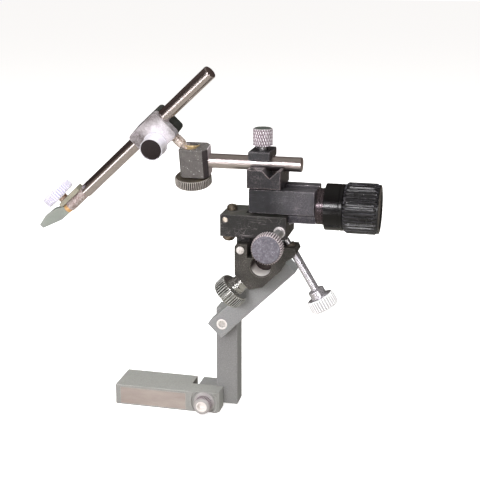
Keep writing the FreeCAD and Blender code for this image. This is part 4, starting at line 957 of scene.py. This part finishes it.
def lock_pieces():
    """Domed lock screw above the slide block, its rounded foot below, and the pin let into the front."""
    place = upright("lock_screw")
    low, high, out = reach("lock_screw", place)
    head, crown, shank = high - 3.3, 1.7, 1.7
    profile = [(low, 0), (low, shank), (head, shank), (head, out)] + dome(high - crown, out, crown)
    slot_width, slot_depth = 0.9, 0.8
    screw = turned("lock_screw_head", profile, lock_dark)
    screw = slotted(screw, slot_width, slot_depth, high, out + 0.5)
    settle(screw, place, "slide_block", ["lock_screw"])
    place = upright("lock_foot") @ Matrix.Rotation(math.pi, 4, "X")
    low, high, out = reach("lock_foot", place)
    reach_in = shank_of("lock_foot", place)
    flange, crown = high - 3.3, 1.7
    profile = [(low, 0), (low, reach_in), (flange, reach_in), (flange, out), (high - crown, out, 0.3)]
    foot = turned("lock_foot_button", profile + dome(high - crown, out - 0.3, crown), lock_dark)
    settle(foot, place, "slide_block", ["lock_foot"])
    place = aim(centre_of("set_pin") * MM, Vector((0, -1, 0)))
    low, high, out = reach("set_pin", place)
    pin = turned("set_pin_end", [(low, 0), (low, out), (high - 1.0, out), (high - 1.0, out - 0.5),
                                 (high, out - 0.5, 0.4), (high, 0)], pin_gold)
    settle(pin, place, "slide_block", ["set_pin"])


for make in (foot_screw, elbow_pin, bore_and_stub, rod_clamp_knob, tilt_pieces, coarse_knob, fine_drive,
             thumbscrew, rods, joint_pieces, cross_knob, grip_pieces, lock_pieces):
    make()

# Finishes of the nodes that stay as they are
kept_nodes = (
    (base_grey, ["base_block"]), (pad_tan, ["base_pad"]), (post_grey, ["post"]), (arm_grey, ["upper_arm"]),
    (bracket_black, ["bracket"]), (slide_dark, ["slide_block"]), (body_black, ["carriage"]),
    (gunmetal, ["v_block"]), (bridge_black, ["clamp_bridge"]), (block_grey, ["joint_block"]),
    (rear_black, ["clamp_rear"]), (silver, ["clamp_front"]), (sleeve_silver, ["grip_sleeve"]),
    (grip_plate_gold, ["grip_plate"]), (jaw_grey, ["grip_jaw"]), (foot_steel, ["pinion_bush"]),
    (bright_steel, ["pinion", "rack", "lead_screw", "tilt_tip"]),
    (dark_steel, ["gib_screw_a", "gib_screw_b", "fine_set_screw"]),
    (brass, ["gib_strip", "feed_nut", "ball_seat", "joint_plug"]),
)
for finish, nodes in kept_nodes:
    for node in nodes:
        mesh = frame["nodes"][node].data
        mesh.materials.clear()
        mesh.materials.append(finish)


# Floor, lights and camera
def floor():
    half = 6000.0 * MM
    corners = [(-half, -half, 0), (half, -half, 0), (half, half, 0), (-half, half, 0)]
    made = object_from("floor", corners, [[0, 1, 2, 3]], floor_finish())
    made.visible_glossy = False
    made.visible_diffuse = False
    made.visible_shadow = False


def floor_finish():
    """White sweep: it glows a little, more so away from the object, so that only a faint shadow shows."""
    f = Finish("floor")
    grain = f.noise(900.0)
    tone = f.mix((250, 250, 250), (246, 246, 246), grain)
    away = f.node("ShaderNodeVectorMath", {0: f.place}, {"operation": "LENGTH"}, out="Value")
    glow = f.mix((236, 236, 236), (255, 255, 255), away.between(180.0, 520.0))
    surface = f.node("ShaderNodeBsdfPrincipled", {"Base Color": tone, "Roughness": 0.95,
                                                  "Specular IOR Level": 0.0, "Emission Color": glow,
                                                  "Emission Strength": 0.8})
    f.node("ShaderNodeOutputMaterial", {"Surface": surface})
    return f.material


def sky():
    """Dim room for the reflections: brown above, dark at the horizon and olive below; white behind."""
    world = bpy.data.worlds.new("studio")
    world.use_nodes = True
    g = Graph(world.node_tree)
    g.tree.nodes.clear()
    direction = g.node("ShaderNodeTexCoord", out="Generated")
    _, _, up = g.parts_of(direction)
    shade = g.node("ShaderNodeValToRGB", {0: up * 0.5 + 0.5},
                   {"stops": [(0.0, srgb(194, 190, 180)), (0.3, srgb(170, 164, 154)),
                              (0.44, srgb(104, 95, 88)), (0.55, srgb(42, 35, 33)), (0.7, srgb(74, 64, 61)),
                              (0.85, srgb(108, 100, 96)), (1.0, srgb(150, 147, 141))]})
    seen = g.node("ShaderNodeLightPath", out="Is Camera Ray")
    around = g.node("ShaderNodeBackground", {"Color": shade, "Strength": 1.0})
    behind = g.node("ShaderNodeBackground", {"Color": (1, 1, 1, 1), "Strength": 1.05})
    both = g.node("ShaderNodeMixShader", {0: seen, 1: around, 2: behind})
    g.node("ShaderNodeOutputWorld", {"Surface": both})
    bpy.context.scene.world = world


def softbox(name, azimuth, elevation, distance, size, power, colour, mirrored=True):
    """A soft light aimed at the object, placed as the camera is, by angles in degrees."""
    toward = direction_from(azimuth, elevation)
    turn = toward.to_track_quat("Z", "Y")
    area_light(name, light_target + toward * distance, turn, size, power, colour, mirrored)


def glint(name, joint, distance, size, power):
    """A small light where a rod mirrors it to the camera as a bright line along its middle."""
    axis = Vector(joints[joint]["axis"]).normalized()
    view = direction_from(view_azimuth, view_elevation)
    facing = (view - axis * view.dot(axis)).normalized()
    toward = facing * (2 * facing.dot(view)) - view
    across = (axis - toward * axis.dot(toward)).normalized()
    turn = Matrix((across, toward.cross(across), toward)).transposed().to_quaternion()
    place = Vector(joints[joint]["pos_m"]) + toward * distance
    area_light(name, place, turn, size, power, (1.0, 0.98, 1.0), True)


def area_light(name, place, turn, size, power, colour, mirrored):
    light = bpy.data.lights.new(name, "AREA")
    light.shape = "RECTANGLE"
    light.size, light.size_y = size
    light.energy = power
    light.color = colour
    made = bpy.data.objects.new(name, light)
    made.location = place
    made.rotation_euler = turn.to_euler()
    made.visible_glossy = mirrored
    made.visible_camera = False
    bpy.context.scene.collection.objects.link(made)


def direction_from(azimuth, elevation):
    a, e = math.radians(azimuth), math.radians(elevation)
    return Vector((math.sin(a) * math.cos(e), -math.cos(a) * math.cos(e), math.sin(e)))


# The camera as fitted to corners of the object, in degrees and metres
view_azimuth = 13.49
view_elevation = 15.84
view_distance = 0.5587
view_target = Vector((0.0588, -0.024, 0.1138))


def camera():
    back = direction_from(view_azimuth, view_elevation)
    lens = bpy.data.cameras.new("camera")
    lens.lens = 75
    lens.sensor_width = 36
    lens.clip_start, lens.clip_end = 0.01, 20
    made = bpy.data.objects.new("camera", lens)
    made.location = view_target + back * view_distance
    made.rotation_mode = "QUATERNION"
    made.rotation_quaternion = (-back).to_track_quat("-Z", "Y")
    bpy.context.scene.collection.objects.link(made)
    bpy.context.scene.camera = made


floor()
sky()
light_target = Vector((0.05, -0.02, 0.1))
softbox("key", -2, 20, 0.8, (0.5, 0.11), 1.6, (1.0, 0.98, 1.0))
softbox("key_fill", -2, 20, 0.8, (0.5, 0.11), 2.35, (1.0, 0.98, 1.0), mirrored=False)
glint("holder_glint", "grip_roll", 0.5, (0.3, 0.08), 0.3)
glint("tilt_glint", "tilt_turn", 0.5, (0.12, 0.05), 0.08)
glint("clamp_glint", "rod_clamp_turn", 0.5, (0.1, 0.06), 0.12)
glint("stem_glint", "clamp_swivel", 0.5, (0.1, 0.08), 0.14)
glint("drive_glint", "fine_turn", 0.5, (0.12, 0.04), 0.6)
glint("thumb_glint", "thumb_turn", 0.4, (0.1, 0.03), 0.06)
softbox("front", 13, 4, 0.9, (0.8, 0.4), 0.3, (1.0, 1.0, 0.97), mirrored=False)
softbox("overhead", -25, 75, 0.9, (0.9, 0.9), 9.0, (0.97, 1.0, 0.97), mirrored=False)
softbox("right", 95, 10, 0.9, (0.5, 0.7), 3.6, (0.96, 1.0, 1.0), mirrored=False)
softbox("left", -75, 20, 0.9, (0.4, 0.6), 0.8, (0.97, 0.98, 1.0), mirrored=False)
softbox("back", 200, 35, 0.9, (0.7, 0.5), 2.2, (1.0, 0.99, 0.97), mirrored=False)
camera()
bpy.context.scene.view_settings.view_transform = "Standard"
